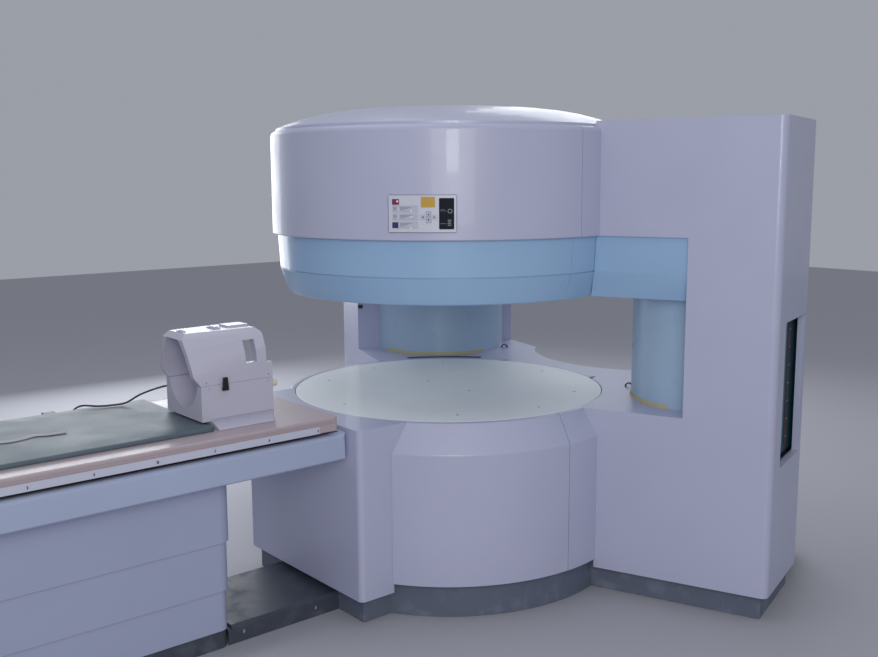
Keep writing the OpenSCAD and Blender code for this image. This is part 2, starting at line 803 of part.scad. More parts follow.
base_z = 812;
module coil_base_plate() {
  color("#d6d6e0") coil_frame() intersection() {
    translate([coil_x0 - 10, 0, 0]) rotate([90, 0, 90]) linear_extrude(coil_x1 - coil_x0 + 10)
      polygon([[-coil_w - 58, pad_low], [coil_w + 58, pad_low], [coil_w + 58, pad_low + 5], [coil_w, base_z],
        [-coil_w, base_z], [-coil_w - 58, pad_low + 5]]);
    slab(pad_low - eps, base_z + eps) polygon([[-1218, -coil_w - 60], [coil_x1 - 33, -coil_w - 60],
      [coil_x1, -coil_w], [coil_x1, coil_w], [coil_x1 - 33, coil_w + 60], [-1218, coil_w + 60]]);
  }
  color("#d6d6e0") coil_frame() block([coil_x0, -coil_w, pad_top + 1], [-1218, coil_w, base_z]);
}

bore_r = 105;
bore_z = 943;
lug_z = 912;
lug_x = -1165;
lug_y = coil_w + 4;
knob_y = -coil_w + 14;
knob_z = 903;

module coil_lower_shell() {
  color("#d2d2dd") coil_frame() difference() {
    union() {
      block([coil_x0, -coil_w, base_z], [coil_x1, coil_w, coil_part_z - 0.5]);
      for (s = [1, -1]) {
        translate([lug_x - 5, s * lug_y, lug_z]) rotate([0, 90, 0]) cylinder(h = 10, r = 4.2, $fn = 24);
        translate([lug_x - 5, s * (coil_w + 1) - 3, lug_z - 4.2]) cube([10, 6, 8.4]);
      }
    }
    translate([coil_x0 - eps, 0, bore_z]) rotate([0, 90, 0])
      cylinder(h = coil_x1 - coil_x0 + 2 * eps, r = bore_r, $fn = 64);
    for (s = [1, -1]) translate([lug_x - 10, s * lug_y, lug_z]) rotate([0, 90, 0]) cylinder(h = 20, r = 2.55, $fn = 24);
    translate([coil_x1 - 30, knob_y, knob_z]) rotate([0, 90, 0]) cylinder(h = 40, r = 5.05, $fn = 24);
    translate([coil_gland_x, coil_w - 12, coil_gland_z]) rotate([-90, 0, 0]) cylinder(h = 20, r = 8, $fn = 24);
  }
}

shoulder_top = 982;
module coil_side_outline() {
  polygon([[coil_x0, coil_part_z], [-1273, 958], [-1284, 1080], [-1266, coil_top_z], [-1010, coil_top_z],
    [coil_rear, 1088], [coil_rear, shoulder_top], [coil_x1, shoulder_top], [coil_x1, coil_part_z]]);
}
coil_rear = -998;
// Half sections of the upper shell, (half width, height): narrow at its front, wide at its rear
front_section = [[131.5, coil_part_z], [129, 958], [113, 1002], [96, 1044], [73, 1081], [55, coil_top_z]];
rear_section = [[131.5, coil_part_z], [131.5, 990], [127, 1040], [110, 1080], [78, coil_top_z]];
module coil_slice(half, x, t, down) {
  n = len(half);
  far = [for (k = [n - 1:-1:0]) [-half[k][0] + t, half[k][1] - t - (k == 0 ? down : 0)]];
  near = [for (k = [0:n - 1]) [half[k][0] - t, half[k][1] - t - (k == 0 ? down : 0)]];
  translate([x, 0, 0]) rotate([90, 0, 90]) linear_extrude(1) polygon(concat(near, far));
}
// The shell's outside (t = 0), or its hollow
module coil_loft(t) {
  hull() {
    coil_slice(front_section, t > 0 ? -1330 : -1285, t, t > 0 ? 20 : 0);
    coil_slice(rear_section, t > 0 ? coil_x1 + 30 : coil_x1 - 1, t, t > 0 ? 20 : 0);
  }
}
module coil_upper_shell() {
  color("#d2d2dd") coil_frame() {
    difference() {
      intersection() {
        rotate([90, 0, 0]) translate([0, 0, -coil_w]) linear_extrude(2 * coil_w) coil_side_outline();
        coil_loft(0);
      }
      coil_loft(20);
      block([-1077, -coil_w - eps, 988], [-1035, coil_w + eps, 1064]);
    }
    block([-1086, -22, coil_top_z - 1], [-1006, 42, coil_top_z + 6]);
  }
}

// A latch stands 0.5 mm off the shells and turns on a pin through the shell's lug
module coil_latch(s) {
  color("#15171b") coil_frame() mirror([0, s < 0 ? 1 : 0, 0]) {
    translate([lug_x, coil_w + 8.5, 0]) rotate([90, 0, 0]) translate([0, 0, -5])
      linear_extrude(5) polygon([[-12, 906], [12, 906], [8, 951], [-8, 951]]);
    for (x = [lug_x - 9.5, lug_x + 5.5]) {
      translate([x, lug_y, lug_z]) rotate([0, 90, 0]) cylinder(h = 4, r = 3.5, $fn = 24);
      block([x, lug_y, lug_z - 3.5], [x + 4, coil_w + 9, lug_z + 3.5]);
    }
    translate([lug_x - 9, lug_y, lug_z]) rotate([0, 90, 0]) cylinder(h = 18, r = 2.5, $fn = 24);
  }
}
module near_coil_latch() { coil_latch(-1); }
module far_coil_latch() { coil_latch(1); }

module coil_knob() {
  color("#d9d2ab") coil_frame() translate([coil_x1, knob_y, knob_z]) rotate([0, 90, 0]) {
    rotate_extrude($fn = 32) polygon([[0, 0.5], [9, 0.5], [12, 3], [13, 10], [12, 18], [8, 21], [0, 21]]);
    translate([0, 0, -25]) cylinder(h = 26, r = 5, $fn = 24);
  }
}

/* Cable of the head coil */

coil_gland_x = -1200;
coil_gland_z = 880;
cable_r = 3.5;
cable_gap = coil_y + coil_w;
port_x = -1548;
port_y = cradle_w + 16;
port_z = 775;

module coil_gland() {
  color("#22252a") translate([coil_gland_x, cable_gap - 12, coil_gland_z]) rotate([-90, 0, 0])
    difference() {
      union() {
        cylinder(h = 12, r = 8, $fn = 32);
        translate([0, 0, 12]) cylinder(h = 5, r = 10, $fn = 32);
        translate([0, 0, 17]) cylinder(h = 18, r1 = 8, r2 = 5, $fn = 32);
      }
      translate([0, 0, 35 - 6]) cylinder(h = 10, r = cable_r, $fn = 32);
    }
}

module coil_port() {
  color("#2a2d33") {
    block([port_x - 42, cradle_w + 1, 744], [port_x, cradle_w + 31, 793]);
    translate([port_x, port_y, port_z]) rotate([0, 90, 0]) {
      cylinder(h = 26, r = 12, $fn = 32);
      translate([0, 0, 26]) cylinder(h = 22, r1 = 10, r2 = 5, $fn = 32);
    }
  }
}

cable_route = [[-1200, 95, 880], [-1200, 108, 880], [-1202, 122, 879], [-1209, 136, 877], [-1222, 150, 874],
  [-1241, 164, 868], [-1263, 178, 860], [-1287, 193, 850], [-1305, 209, 838], [-1316, 224, 826],
  [-1328, 238, 815], [-1342, 250, 809], [-1359, 259, 807], [-1379, 264, 807], [-1402, 269, 807],
  [-1424, 282, 807], [-1443, 304, 808], [-1457, 329, 807], [-1471, 349, 799], [-1482, 359, 787],
  [-1493, 361, 778], [-1500, 361, 775]];

// Rings of a tube around a route of points
function heading(p, i) = unit(p[min(i + 1, len(p) - 1)] - p[max(i - 1, 0)]);
function side_of(h) = unit(cross(h, abs(h[2]) > 0.9 ? [1, 0, 0] : [0, 0, 1]));
function ring_at(p, i, r, n) = let (h = heading(p, i), s = side_of(h), t = cross(s, h))
  [for (k = [0:n - 1]) p[i] + r * (cos(360 * k / n) * s + sin(360 * k / n) * t)];
module tube_along(p, r, n) {
  m = len(p);
  pts = [for (i = [0:m - 1]) each ring_at(p, i, r, n)];
  sides = [for (i = [0:m - 2], k = [0:n - 1]) let (a = i * n + k, b = i * n + (k + 1) % n) [a, b, b + n, a + n]];
  polyhedron(pts, concat(sides, [[for (k = [n - 1:-1:0]) k]], [[for (k = [0:n - 1]) (m - 1) * n + k]]));
}
module coil_cable() { color("#2b2e33") tube_along(cable_route, cable_r, 10); }

levelling_feet();
lower_yoke();
upper_yoke();
near_yoke_column();
far_yoke_column();
magnets();
pole_pieces();
gradient_coils();
transmit_coils();
cover_posts();
base_skirt();
wing_cover();
near_side_cover();
far_side_cover();
rear_lower_cover();
rear_upper_cover();
near_arm_cover();
far_arm_cover();
near_column_cover();
far_column_cover();
column_foot_strips();
hatch_frame();
lower_pole_cover();
cover_screws();
upper_pole_cover();
drum_front_cover();
drum_top_cap();
drum_band();
near_arm_band();
far_arm_band();
control_panel();
panel_keys();
panel_display();
floor_duct();
pedestal_base();
lift_outer_tubes();
lift_drive();
tier_3_cover();
lift_middle_stage();
tier_2_cover();
lift_inner_tubes();
tier_1_cover();
table_beam();
beam_rails();
cradle_drive();
cradle();
cradle_runners();
cradle_side_strips();
strip_screws();
mattress();
mattress_strap();
coil_base_plate();
coil_lower_shell();
coil_upper_shell();
near_coil_latch();
far_coil_latch();
coil_knob();
coil_gland();
coil_cable();
coil_port();
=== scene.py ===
"""Looks of an open magnetic resonance scanner with its patient table and head coil.

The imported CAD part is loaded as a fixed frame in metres, with the floor at z = 0, the magnet's axis at
the origin and the table towards -X. Covers get rounded edges, the soft pieces are built here, and every
piece gets a procedural material.
"""

import json
import logging
import math
from dataclasses import dataclass, field
from enum import Enum
from typing import Optional, Sequence

import bmesh
import bpy
from mathutils import Matrix, Vector, noise

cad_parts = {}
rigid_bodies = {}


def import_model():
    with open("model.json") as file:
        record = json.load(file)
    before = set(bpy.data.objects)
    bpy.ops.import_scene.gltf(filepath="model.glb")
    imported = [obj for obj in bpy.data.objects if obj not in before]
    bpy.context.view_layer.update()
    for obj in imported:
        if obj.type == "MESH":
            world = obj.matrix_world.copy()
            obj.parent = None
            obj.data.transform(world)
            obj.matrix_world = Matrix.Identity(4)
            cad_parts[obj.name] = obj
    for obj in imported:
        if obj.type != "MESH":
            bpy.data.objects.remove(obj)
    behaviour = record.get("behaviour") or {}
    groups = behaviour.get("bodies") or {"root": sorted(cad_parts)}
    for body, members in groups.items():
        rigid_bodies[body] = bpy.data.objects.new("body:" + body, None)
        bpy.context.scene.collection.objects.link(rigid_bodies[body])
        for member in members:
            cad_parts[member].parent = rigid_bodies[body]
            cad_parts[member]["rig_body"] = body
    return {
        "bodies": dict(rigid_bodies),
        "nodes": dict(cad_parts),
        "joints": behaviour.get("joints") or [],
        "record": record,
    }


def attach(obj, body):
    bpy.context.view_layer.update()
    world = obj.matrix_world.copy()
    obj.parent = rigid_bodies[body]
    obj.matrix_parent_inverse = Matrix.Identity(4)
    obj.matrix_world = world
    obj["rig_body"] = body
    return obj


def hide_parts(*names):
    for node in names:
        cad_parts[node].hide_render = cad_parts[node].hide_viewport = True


LOG = logging.getLogger("scanner")
Point = tuple[float, float, float]
Flat = tuple[float, float]
Colour = tuple[float, float, float]


# Finishes


class Surface(Enum):
    """What a finish is made of, which decides the pattern that its shader uses."""

    MOULDED = "moulded"
    PAINTED = "painted"
    MATT = "matt"
    SCUFFED = "scuffed"
    BRUSHED = "brushed"
    CAST = "cast"
    WOVEN = "woven"
    VINYL = "vinyl"


@dataclass(frozen=True)
class Finish:
    """One finish, with the record's slot that it belongs to.

    Args:
        slot: Name of the record's material slot.
        colour: Base colour, linear.
        surface: The kind of surface.
        roughness: Mean roughness.
        coat: Weight of the clear coat.
        shine: Level of its plain reflections.
    """

    slot: str
    colour: Colour
    surface: Surface
    roughness: float = 0.45
    coat: float = 0.0
    shine: float = 0.5


FINISHES: tuple[Finish, ...] = (
    Finish("housing_white", (0.49, 0.51, 0.67), Surface.MOULDED, 0.36, 0.2),
    Finish("yoke_iron", (0.16, 0.18, 0.21), Surface.PAINTED, 0.5),
    Finish("cast_iron_dark", (0.10, 0.10, 0.11), Surface.CAST, 0.65),
    Finish("magnet_block", (0.22, 0.20, 0.18), Surface.CAST, 0.5),
    Finish("coil_resin", (0.45, 0.24, 0.10), Surface.MATT, 0.4),
    Finish("circuit_board", (0.42, 0.50, 0.40), Surface.MATT, 0.45),
    Finish("steel", (0.60, 0.60, 0.62), Surface.BRUSHED, 0.3),
    Finish("skirt_dark", (0.115, 0.135, 0.19), Surface.SCUFFED, 0.55),
    Finish("column_blue", (0.41, 0.56, 0.72), Surface.MOULDED, 0.3, 0.2),
    Finish("band_blue", (0.33, 0.51, 0.74), Surface.MOULDED, 0.32, 0.2),
    Finish("cream_strip", (0.58, 0.50, 0.25), Surface.MATT, 0.5),
    Finish("pole_cover", (0.90, 0.94, 0.96), Surface.MOULDED, 0.5, 0.1),
    Finish("pole_cover_upper", (0.50, 0.57, 0.62), Surface.MATT, 0.45),
    Finish("screw_white", (0.30, 0.31, 0.33), Surface.MATT, 0.4),
    Finish("panel_face", (0.62, 0.64, 0.74), Surface.MATT, 0.4),
    Finish("panel_keys", (0.52, 0.54, 0.64), Surface.MATT, 0.4),
    Finish("display_black", (0.008, 0.010, 0.022), Surface.MATT, 0.5, 0.0, 0.12),
    Finish("duct_dark", (0.045, 0.055, 0.08), Surface.SCUFFED, 0.5),
    Finish("drive_dark", (0.035, 0.04, 0.045), Surface.PAINTED, 0.5),
    Finish("tier_white", (0.39, 0.43, 0.59), Surface.PAINTED, 0.4),
    Finish("beam_white", (0.43, 0.49, 0.67), Surface.PAINTED, 0.38),
    Finish("aluminium_rail", (0.70, 0.70, 0.72), Surface.BRUSHED, 0.3),
    Finish("cradle_white", (0.47, 0.39, 0.42), Surface.MOULDED, 0.36, 0.1),
    Finish("runner_plastic", (0.80, 0.80, 0.80), Surface.MATT, 0.5),
    Finish("strip_white", (0.57, 0.59, 0.71), Surface.MOULDED, 0.36, 0.1),
    Finish("pad_teal", (0.085, 0.120, 0.150), Surface.VINYL, 0.5),
    Finish("strap_white", (0.55, 0.54, 0.56), Surface.WOVEN, 0.8),
    Finish("coil_white", (0.53, 0.52, 0.63), Surface.MOULDED, 0.35, 0.1),
    Finish("latch_black", (0.01, 0.01, 0.012), Surface.MATT, 0.35),
    Finish("knob_cream", (0.70, 0.66, 0.45), Surface.MATT, 0.4),
    Finish("cable_black", (0.04, 0.045, 0.05), Surface.MATT, 0.45),
)


@dataclass(frozen=True)
class Print:
    """Named finishes of the small prints, which are no slot of their own."""

    dark: Finish = Finish("panel_keys", (0.07, 0.08, 0.15), Surface.MATT, 0.4)
    grey: Finish = Finish("panel_keys", (0.22, 0.23, 0.31), Surface.MATT, 0.4)
    red: Finish = Finish("panel_keys", (0.22, 0.02, 0.10), Surface.MATT, 0.35)
    navy: Finish = Finish("panel_keys", (0.03, 0.04, 0.13), Surface.MATT, 0.35)
    amber: Finish = Finish("panel_face", (0.55, 0.33, 0.03), Surface.MATT, 0.4)
    lamp: Finish = Finish("panel_keys", (0.85, 0.86, 0.90), Surface.MATT, 0.4)
    ring: Finish = Finish("display_black", (0.22, 0.26, 0.28), Surface.MATT, 0.3)
    green: Finish = Finish("display_black", (0.09, 0.17, 0.14), Surface.MATT, 0.3)
    slot: Finish = Finish("latch_black", (0.02, 0.02, 0.03), Surface.MATT, 0.5)
    screw: Finish = Finish("steel", (0.13, 0.13, 0.14), Surface.MATT, 0.35)
    copper: Finish = Finish("coil_resin", (0.13, 0.055, 0.035), Surface.PAINTED, 0.4)
    teal: Finish = Finish("drive_dark", (0.07, 0.17, 0.24), Surface.MATT, 0.5)


PRINT = Print()


# Shaders


@dataclass
class Socket:
    """A shader value that can be added to and multiplied.

    Args:
        tree: The tree that it belongs to.
        out: The node's output.
    """

    tree: "ShaderTree"
    out: bpy.types.NodeSocket

    def __add__(self, other: "Socket | float") -> "Socket":
        """Adds a value."""
        return self.tree.maths("ADD", self, other)

    def __mul__(self, other: "Socket | float") -> "Socket":
        """Multiplies by a value."""
        return self.tree.maths("MULTIPLY", self, other)

    def __rmul__(self, other: float) -> "Socket":
        """Multiplies a number."""
        return self.tree.maths("MULTIPLY", other, self)


class ShaderTree:
    """Builds one material's node tree around a Principled BSDF."""

    def __init__(self, name: str) -> None:
        """Starts the material."""
        self.material = bpy.data.materials.new(name)
        self.material.use_nodes = True
        self.nodes = self.material.node_tree.nodes
        self.links = self.material.node_tree.links
        self.shader = self.nodes["Principled BSDF"]

    def node(self, kind: str, inputs: Optional[dict] = None, **settings) -> bpy.types.Node:
        """Adds a node, sets its properties and links or sets its inputs.

        Args:
            kind: Blender's node type.
            inputs: Values or sockets by input name or number.
            settings: Properties of the node.

        Returns:
            The new node.
        """
        new = self.nodes.new(kind)
        for key, value in settings.items():
            setattr(new, key, value)
        for key, value in (inputs or {}).items():
            self.feed(new.inputs[key], value)
        return new

    def feed(self, socket: bpy.types.NodeSocket, value: "Socket | float | Sequence[float]") -> None:
        """Links a socket or sets a plain value.

        Args:
            socket: The node's input.
            value: What goes into it.
        """
        if isinstance(value, Socket):
            self.links.new(value.out, socket)
        else:
            socket.default_value = value

    def value(self, node: bpy.types.Node, output: "str | int" = 0) -> Socket:
        """Wraps one output of a node."""
        return Socket(self, node.outputs[output])

    def maths(self, operation: str, a: "Socket | float", b: "Socket | float") -> Socket:
        """One arithmetic node."""
        return self.value(self.node("ShaderNodeMath", {0: a, 1: b}, operation=operation))

    def place(self) -> Socket:
        """The point's place in the object's own coordinates, in metres."""
        return self.value(self.node("ShaderNodeTexCoord"), "Object")

    def height(self) -> Socket:
        """The point's height above the floor."""
        return self.value(self.node("ShaderNodeSeparateXYZ", {0: self.place()}), "Z")

    def noise(self, at: Socket, scale: float, detail: float = 4.0) -> Socket:
        """Noise about 0.5."""
        inputs = {"Vector": at, "Scale": scale, "Detail": detail}
        return self.value(self.node("ShaderNodeTexNoise", inputs), "Fac")

    def ranged(self, value: Socket, low: float, high: float, start: float = 0.3, end: float = 0.7) -> Socket:
        """A value spread between two limits.

        Args:
            value: The value.
            low: Result at the start.
            high: Result at the end.
            start: Value at which the spread starts.
            end: Value at which it ends.

        Returns:
            The spread value.
        """
        inputs = {"Value": value, "From Min": start, "From Max": end, "To Min": low, "To Max": high}
        return self.value(self.node("ShaderNodeMapRange", inputs))

    def tint(self, value: Socket, colour: Colour, spread: float) -> Socket:
        """A colour that gets a little darker and lighter with a value.

        Args:
            value: The value that it follows.
            colour: The mean colour.
            spread: How far it strays from the mean, as a share.

        Returns:
            The colour.
        """
        ramp = self.node("ShaderNodeValToRGB", {"Fac": value})
        ramp.color_ramp.elements[0].position = 0.3
        ramp.color_ramp.elements[1].position = 0.7
        for element, k in zip(ramp.color_ramp.elements, (1 - spread, 1 + spread)):
            element.color = (*[min(1.0, c * k) for c in colour], 1)
        return self.value(ramp, "Color")

    def mix(self, factor: "Socket | float", a: "Socket | Sequence[float]",
            b: "Socket | Sequence[float]") -> Socket:
        """Mixes two colours.

        Args:
            factor: Share of the second.
            a: The first colour.
            b: The second colour.

        Returns:
            The mix.
        """
        node = self.node("ShaderNodeMix", data_type="RGBA")
        for socket, value in zip((node.inputs[0], node.inputs[6], node.inputs[7]), (factor, a, b)):
            self.feed(socket, value)
        return self.value(node, 2)

    def bump(self, height: Socket, distance: float, strength: float) -> None:
        """Feeds a bump to the shader's normal."""
        inputs = {"Height": height, "Distance": distance, "Strength": strength}
        self.feed(self.shader.inputs["Normal"], self.value(self.node("ShaderNodeBump", inputs), "Normal"))


@dataclass
class Paintbox:
    """Makes each finish's material once.

    Args:
        made: The materials so far, by name.
    """

    made: dict[str, bpy.types.Material] = field(default_factory=dict)

    def get(self, name: str, finish: Finish) -> bpy.types.Material:
        """The material of a finish.

        Args:
            name: The material's name.
            finish: What it looks like.

        Returns:
            The material, made on first use.
        """
        if name not in self.made:
            self.made[name] = self._build(name, finish)
        return self.made[name]

    def of_slot(self, slot: str) -> bpy.types.Material:
        """The material of one of the record's slots."""
        return self.get(slot, next(f for f in FINISHES if f.slot == slot))

    def of_print(self, name: str) -> bpy.types.Material:
        """The material of one of the small prints."""
        return self.get(f"print_{name}", getattr(PRINT, name))

    def chosen(self, slot: str, shown: str) -> bpy.types.Material:
        """The material of a small print where one is named, or else of the slot."""
        return self.of_print(shown) if shown else self.of_slot(slot)

    def _build(self, name: str, finish: Finish) -> bpy.types.Material:
        """Builds a finish's node tree.

        Args:
            name: The material's name.
            finish: What it looks like.

        Returns:
            The material.
        """
        tree = ShaderTree(name)
        shader, at = tree.shader, tree.place()
        grain = tree.noise(at, 420.0, 2.0)
        smear = tree.noise(at, 9.0) * 0.7 + grain * 0.3
        spread = {Surface.CAST: 0.14, Surface.WOVEN: 0.1, Surface.VINYL: 0.12}.get(finish.surface, 0.03)
        colour = tree.tint(tree.noise(at, 2.2), finish.colour, spread)
        low, high = finish.roughness - 0.05, finish.roughness + 0.06
        roughness = tree.ranged(smear, low, high)
        tree.feed(shader.inputs["Coat Weight"], finish.coat)
        tree.feed(shader.inputs["Specular IOR Level"], finish.shine)
        match finish.surface:
            case Surface.BRUSHED:
                tree.feed(shader.inputs["Metallic"], 1.0)
                stretched = tree.node("ShaderNodeMapping", {"Vector": at, "Scale": (8.0, 300.0, 300.0)})
                tree.bump(tree.noise(tree.value(stretched), 4.0, 2.0), 0.0002, 0.2)
            case Surface.CAST:
                tree.bump(tree.noise(at, 160.0, 6.0), 0.0015, 0.6)
            case Surface.SCUFFED:
                low_down = tree.ranged(tree.height(), 1.0, 0.0, 0.0, 0.16)
                scuffs = tree.ranged(tree.noise(at, 14.0, 8.0), 0.0, 1.0, 0.52, 0.66)
                dusty = tuple(min(1.0, c * 1.35 + 0.05) for c in finish.colour)
                colour = tree.mix((scuffs * 0.6 + 0.15) * low_down, colour, (*dusty, 1.0))
                roughness = roughness + 0.12 * scuffs
                tree.bump(grain, 0.0002, 0.3)
            case Surface.WOVEN:
                warp = tree.node("ShaderNodeTexWave", {"Vector": at, "Scale": 700.0}, bands_direction="X")
                weft = tree.node("ShaderNodeTexWave", {"Vector": at, "Scale": 700.0}, bands_direction="Y")
                threads = tree.value(warp, "Fac") * tree.value(weft, "Fac")
                colour = tree.mix(threads * 0.5, colour, (*[c * 0.55 for c in finish.colour], 1.0))
                tree.bump(threads, 0.0006, 0.5)
            case Surface.VINYL:
                cells = tree.node("ShaderNodeTexVoronoi", {"Vector": at, "Scale": 340.0},
                                  feature="DISTANCE_TO_EDGE")
                leather = tree.ranged(tree.value(cells, "Distance"), 0.0, 1.0, 0.0, 0.12)
                wear = tree.ranged(tree.noise(at, 5.0, 6.0), 0.0, 0.35, 0.45, 0.75)
                pale = tuple(min(1.0, c * 1.5 + 0.03) for c in finish.colour)
                colour = tree.mix(wear, colour, (*pale, 1.0))
                tree.bump(leather * 0.4 + tree.noise(at, 30.0) * 0.6, 0.0006, 0.35)
            case Surface.MOULDED:
                tree.bump(tree.noise(at, 260.0, 1.0) * 0.7 + grain * 0.3, 0.0003, 0.35)
            case _:
                tree.bump(grain, 0.0001, 0.25)
        tree.feed(shader.inputs["Base Color"], colour)
        tree.feed(shader.inputs["Roughness"], roughness)
        return tree.material


PAINT = Paintbox()


# Meshes


def link(obj: bpy.types.Object) -> bpy.types.Object:
    """Puts an object into the scene."""
    bpy.context.scene.collection.objects.link(obj)
    return obj


def add_piece(name: str, mesh: bpy.types.Mesh, body: str, material: bpy.types.Material) -> bpy.types.Object:
    """Adds a piece that moves with a CAD body.

    Args:
        name: Name of the piece.
        mesh: Its mesh, in the row's frame.
        body: The CAD body that it rides on.
        material: Its material.

    Returns:
        The new object.
    """
    obj = link(bpy.data.objects.new(name, mesh))
    if not mesh.materials:
        mesh.materials.append(material)
    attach(obj, body)
    LOG.info("%s: %d faces on %s", name, len(mesh.polygons), body)
    return obj


def add_shape(name: str, shape: bmesh.types.BMesh, body: str, slot: str, shown: str = "",
              smooth_angle: float = 35.0) -> bpy.types.Object:
    """Adds a shape as a piece of its own.

    Args:
        name: Name of the piece and of its mesh.
        shape: The shape, which is freed.
        body: The CAD body that it rides on.
        slot: The record's slot of its finish.
        shown: Name of a small print's finish, where it differs from the slot's.
        smooth_angle: Angle above which its edges stay sharp, in degrees.

    Returns:
        The new object.
    """
    return add_piece(name, mesh_of(name, shape, smooth_angle), body, PAINT.chosen(slot, shown))


def evaluated(obj: bpy.types.Object) -> bpy.types.Mesh:
    """A new mesh of the object with its modifiers applied."""
    depsgraph = bpy.context.evaluated_depsgraph_get()
    return bpy.data.meshes.new_from_object(obj.evaluated_get(depsgraph))


def shade(mesh: bpy.types.Mesh, angle: float) -> None:
    """Smooth shading, with edges above an angle left sharp."""
    mesh.shade_smooth()
    mesh.set_sharp_from_angle(angle=math.radians(angle))


def mesh_of(name: str, bm: bmesh.types.BMesh, smooth_angle: float = 35.0) -> bpy.types.Mesh:
    """Turns a bmesh into a mesh whose edges stay sharp above an angle.

    Args:
        name: Name of the mesh.
        bm: The shape, which is freed.
        smooth_angle: The angle, in degrees.

    Returns:
        The mesh.
    """
    mesh = bpy.data.meshes.new(name)
    bmesh.ops.recalc_face_normals(bm, faces=bm.faces)
    bm.to_mesh(mesh)
    bm.free()
    shade(mesh, smooth_angle)
    return mesh


def joined(parts: Sequence[bmesh.types.BMesh]) -> bmesh.types.BMesh:
    """One bmesh from several.

    Args:
        parts: The shapes, which are freed.

    Returns:
        All of them in one.
    """
    whole = bmesh.new()
    for part in parts:
        step = bpy.data.meshes.new("step")
        bmesh.ops.recalc_face_normals(part, faces=part.faces)
        part.to_mesh(step)
        part.free()
        whole.from_mesh(step)
        bpy.data.meshes.remove(step)
    return whole


def moved(bm: bmesh.types.BMesh, matrix: Matrix) -> bmesh.types.BMesh:
    """Moves and turns a bmesh."""
    bmesh.ops.transform(bm, matrix=matrix, verts=bm.verts)
    return bm


def placed(foot: Point, bearing: float) -> Matrix:
    """A turn about Z by a bearing in degrees, and then a move."""
    return Matrix.Translation(Vector(foot)) @ Matrix.Rotation(math.radians(bearing), 4, "Z")


def extent(node: str) -> tuple[Vector, Vector]:
    """Lowest and highest corner of a CAD node.

    Args:
        node: Name of the node.

    Returns:
        Both corners.
    """
    spots = [v.co for v in bpy.data.objects[node].data.vertices]
    low, high = (Vector([pick(p[k] for p in spots) for k in range(3)]) for pick in (min, max))
    return low, high


def stacked(rings: Sequence[Sequence[Point]]) -> bmesh.types.BMesh:
    """A closed skin over rings of points that all have the same count.

    Args:
        rings: The rings, in order.

    Returns:
        The skin, with a face on the first and last ring.
    """
    bm = bmesh.new()
    rows = [[bm.verts.new(p) for p in ring] for ring in rings]
    count = len(rows[0])
    for low, high in zip(rows, rows[1:]):
        for k in range(count):
            n = (k + 1) % count
            bm.faces.new((low[k], low[n], high[n], high[k]))
    bm.faces.new(list(reversed(rows[0])))
    bm.faces.new(rows[-1])
    return bm


def plate(outline: Sequence[Flat], z0: float, z1: float) -> bmesh.types.BMesh:
    """A flat plate from a plan outline."""
    return stacked([[(x, y, z) for x, y in outline] for z in (z0, z1)])


def rounded(x0: float, y0: float, x1: float, y1: float, r: float, steps: int = 4) -> list[Flat]:
    """Outline of a rectangle with round corners, anticlockwise.

    Args:
        x0: Left side.
        y0: Lower side.
        x1: Right side.
        y1: Upper side.
        r: Radius of the corners.
        steps: Steps in each corner.

    Returns:
        The outline.
    """
    centres = ((x1 - r, y1 - r, 0), (x0 + r, y1 - r, 90), (x0 + r, y0 + r, 180), (x1 - r, y0 + r, 270))
    points = []
    for cx, cy, start in centres:
        for k in range(steps + 1):
            a = math.radians(start + 90 * k / steps)
            points.append((cx + r * math.cos(a), cy + r * math.sin(a)))
    return points


def spot(x: float, y: float, r: float) -> list[Flat]:
    """Outline of a round spot."""
    return rounded(x - r, y - r, x + r, y + r, r * 0.99)


def hexagon(r: float) -> list[Flat]:
    """Outline of a hexagon."""
    return [(r * math.cos(math.radians(60 * k)), r * math.sin(math.radians(60 * k))) for k in range(6)]


def block(low: Point, high: Point, edge: float = 0.0) -> bmesh.types.BMesh:
    """A box between two corners, with rounded edges."""
    bm = plate(((low[0], low[1]), (high[0], low[1]), (high[0], high[1]), (low[0], high[1])), low[2], high[2])
    return bevelled(bm, edge) if edge > 0 else bm


def bevelled(bm: bmesh.types.BMesh, width: float, segments: int = 2) -> bmesh.types.BMesh:
    """Rounds every edge that turns by more than 30 degrees.

    Args:
        bm: The shape.
        width: Width of the rounding.
        segments: Steps in it.

    Returns:
        The same shape.
    """
    edges = [e for e in bm.edges if len(e.link_faces) == 2 and e.calc_face_angle(0) > math.radians(30.0)]
    bmesh.ops.bevel(bm, geom=edges, offset=width, segments=segments, profile=0.6, affect="EDGES",
                    clamp_overlap=True)
    return bm


def screw_head(radius: float, height: float) -> bmesh.types.BMesh:
    """A raised countersunk head with a cross recess, its top towards +Z and its seat at z = 0.

    Args:
        radius: Radius of the head.
        height: How far it stands up.

    Returns:
        The head.
    """
    steps = [math.radians(15 * k) for k in range(24)]

    def cross(a: float, long: float, wide: float) -> float:
        """Distance from the middle to the edge of a cross.

        Args:
            a: The direction, in radians.
            long: Length of an arm.
            wide: Half its width.

        Returns:
            The distance.
        """
        c, s = abs(math.cos(a)), abs(math.sin(a))
        along = min(long / max(c, 1e-9), wide / max(s, 1e-9))
        over = min(wide / max(c, 1e-9), long / max(s, 1e-9))
        return max(along, over)

    arm = 0.55 * radius
    rings = [[(r * math.cos(a), r * math.sin(a), z) for a in steps]
             for r, z in ((radius, 0.0), (radius * 0.98, height * 0.4), (radius * 0.8, height * 0.95))]
    for share, z in ((1.0, height), (0.75, height * 0.15)):
        rings.append([(cross(a, arm * share, arm * 0.268 * share) * math.cos(a),
                       cross(a, arm * share, arm * 0.268 * share) * math.sin(a), z) for a in steps])
    return stacked(rings)


# What repeats


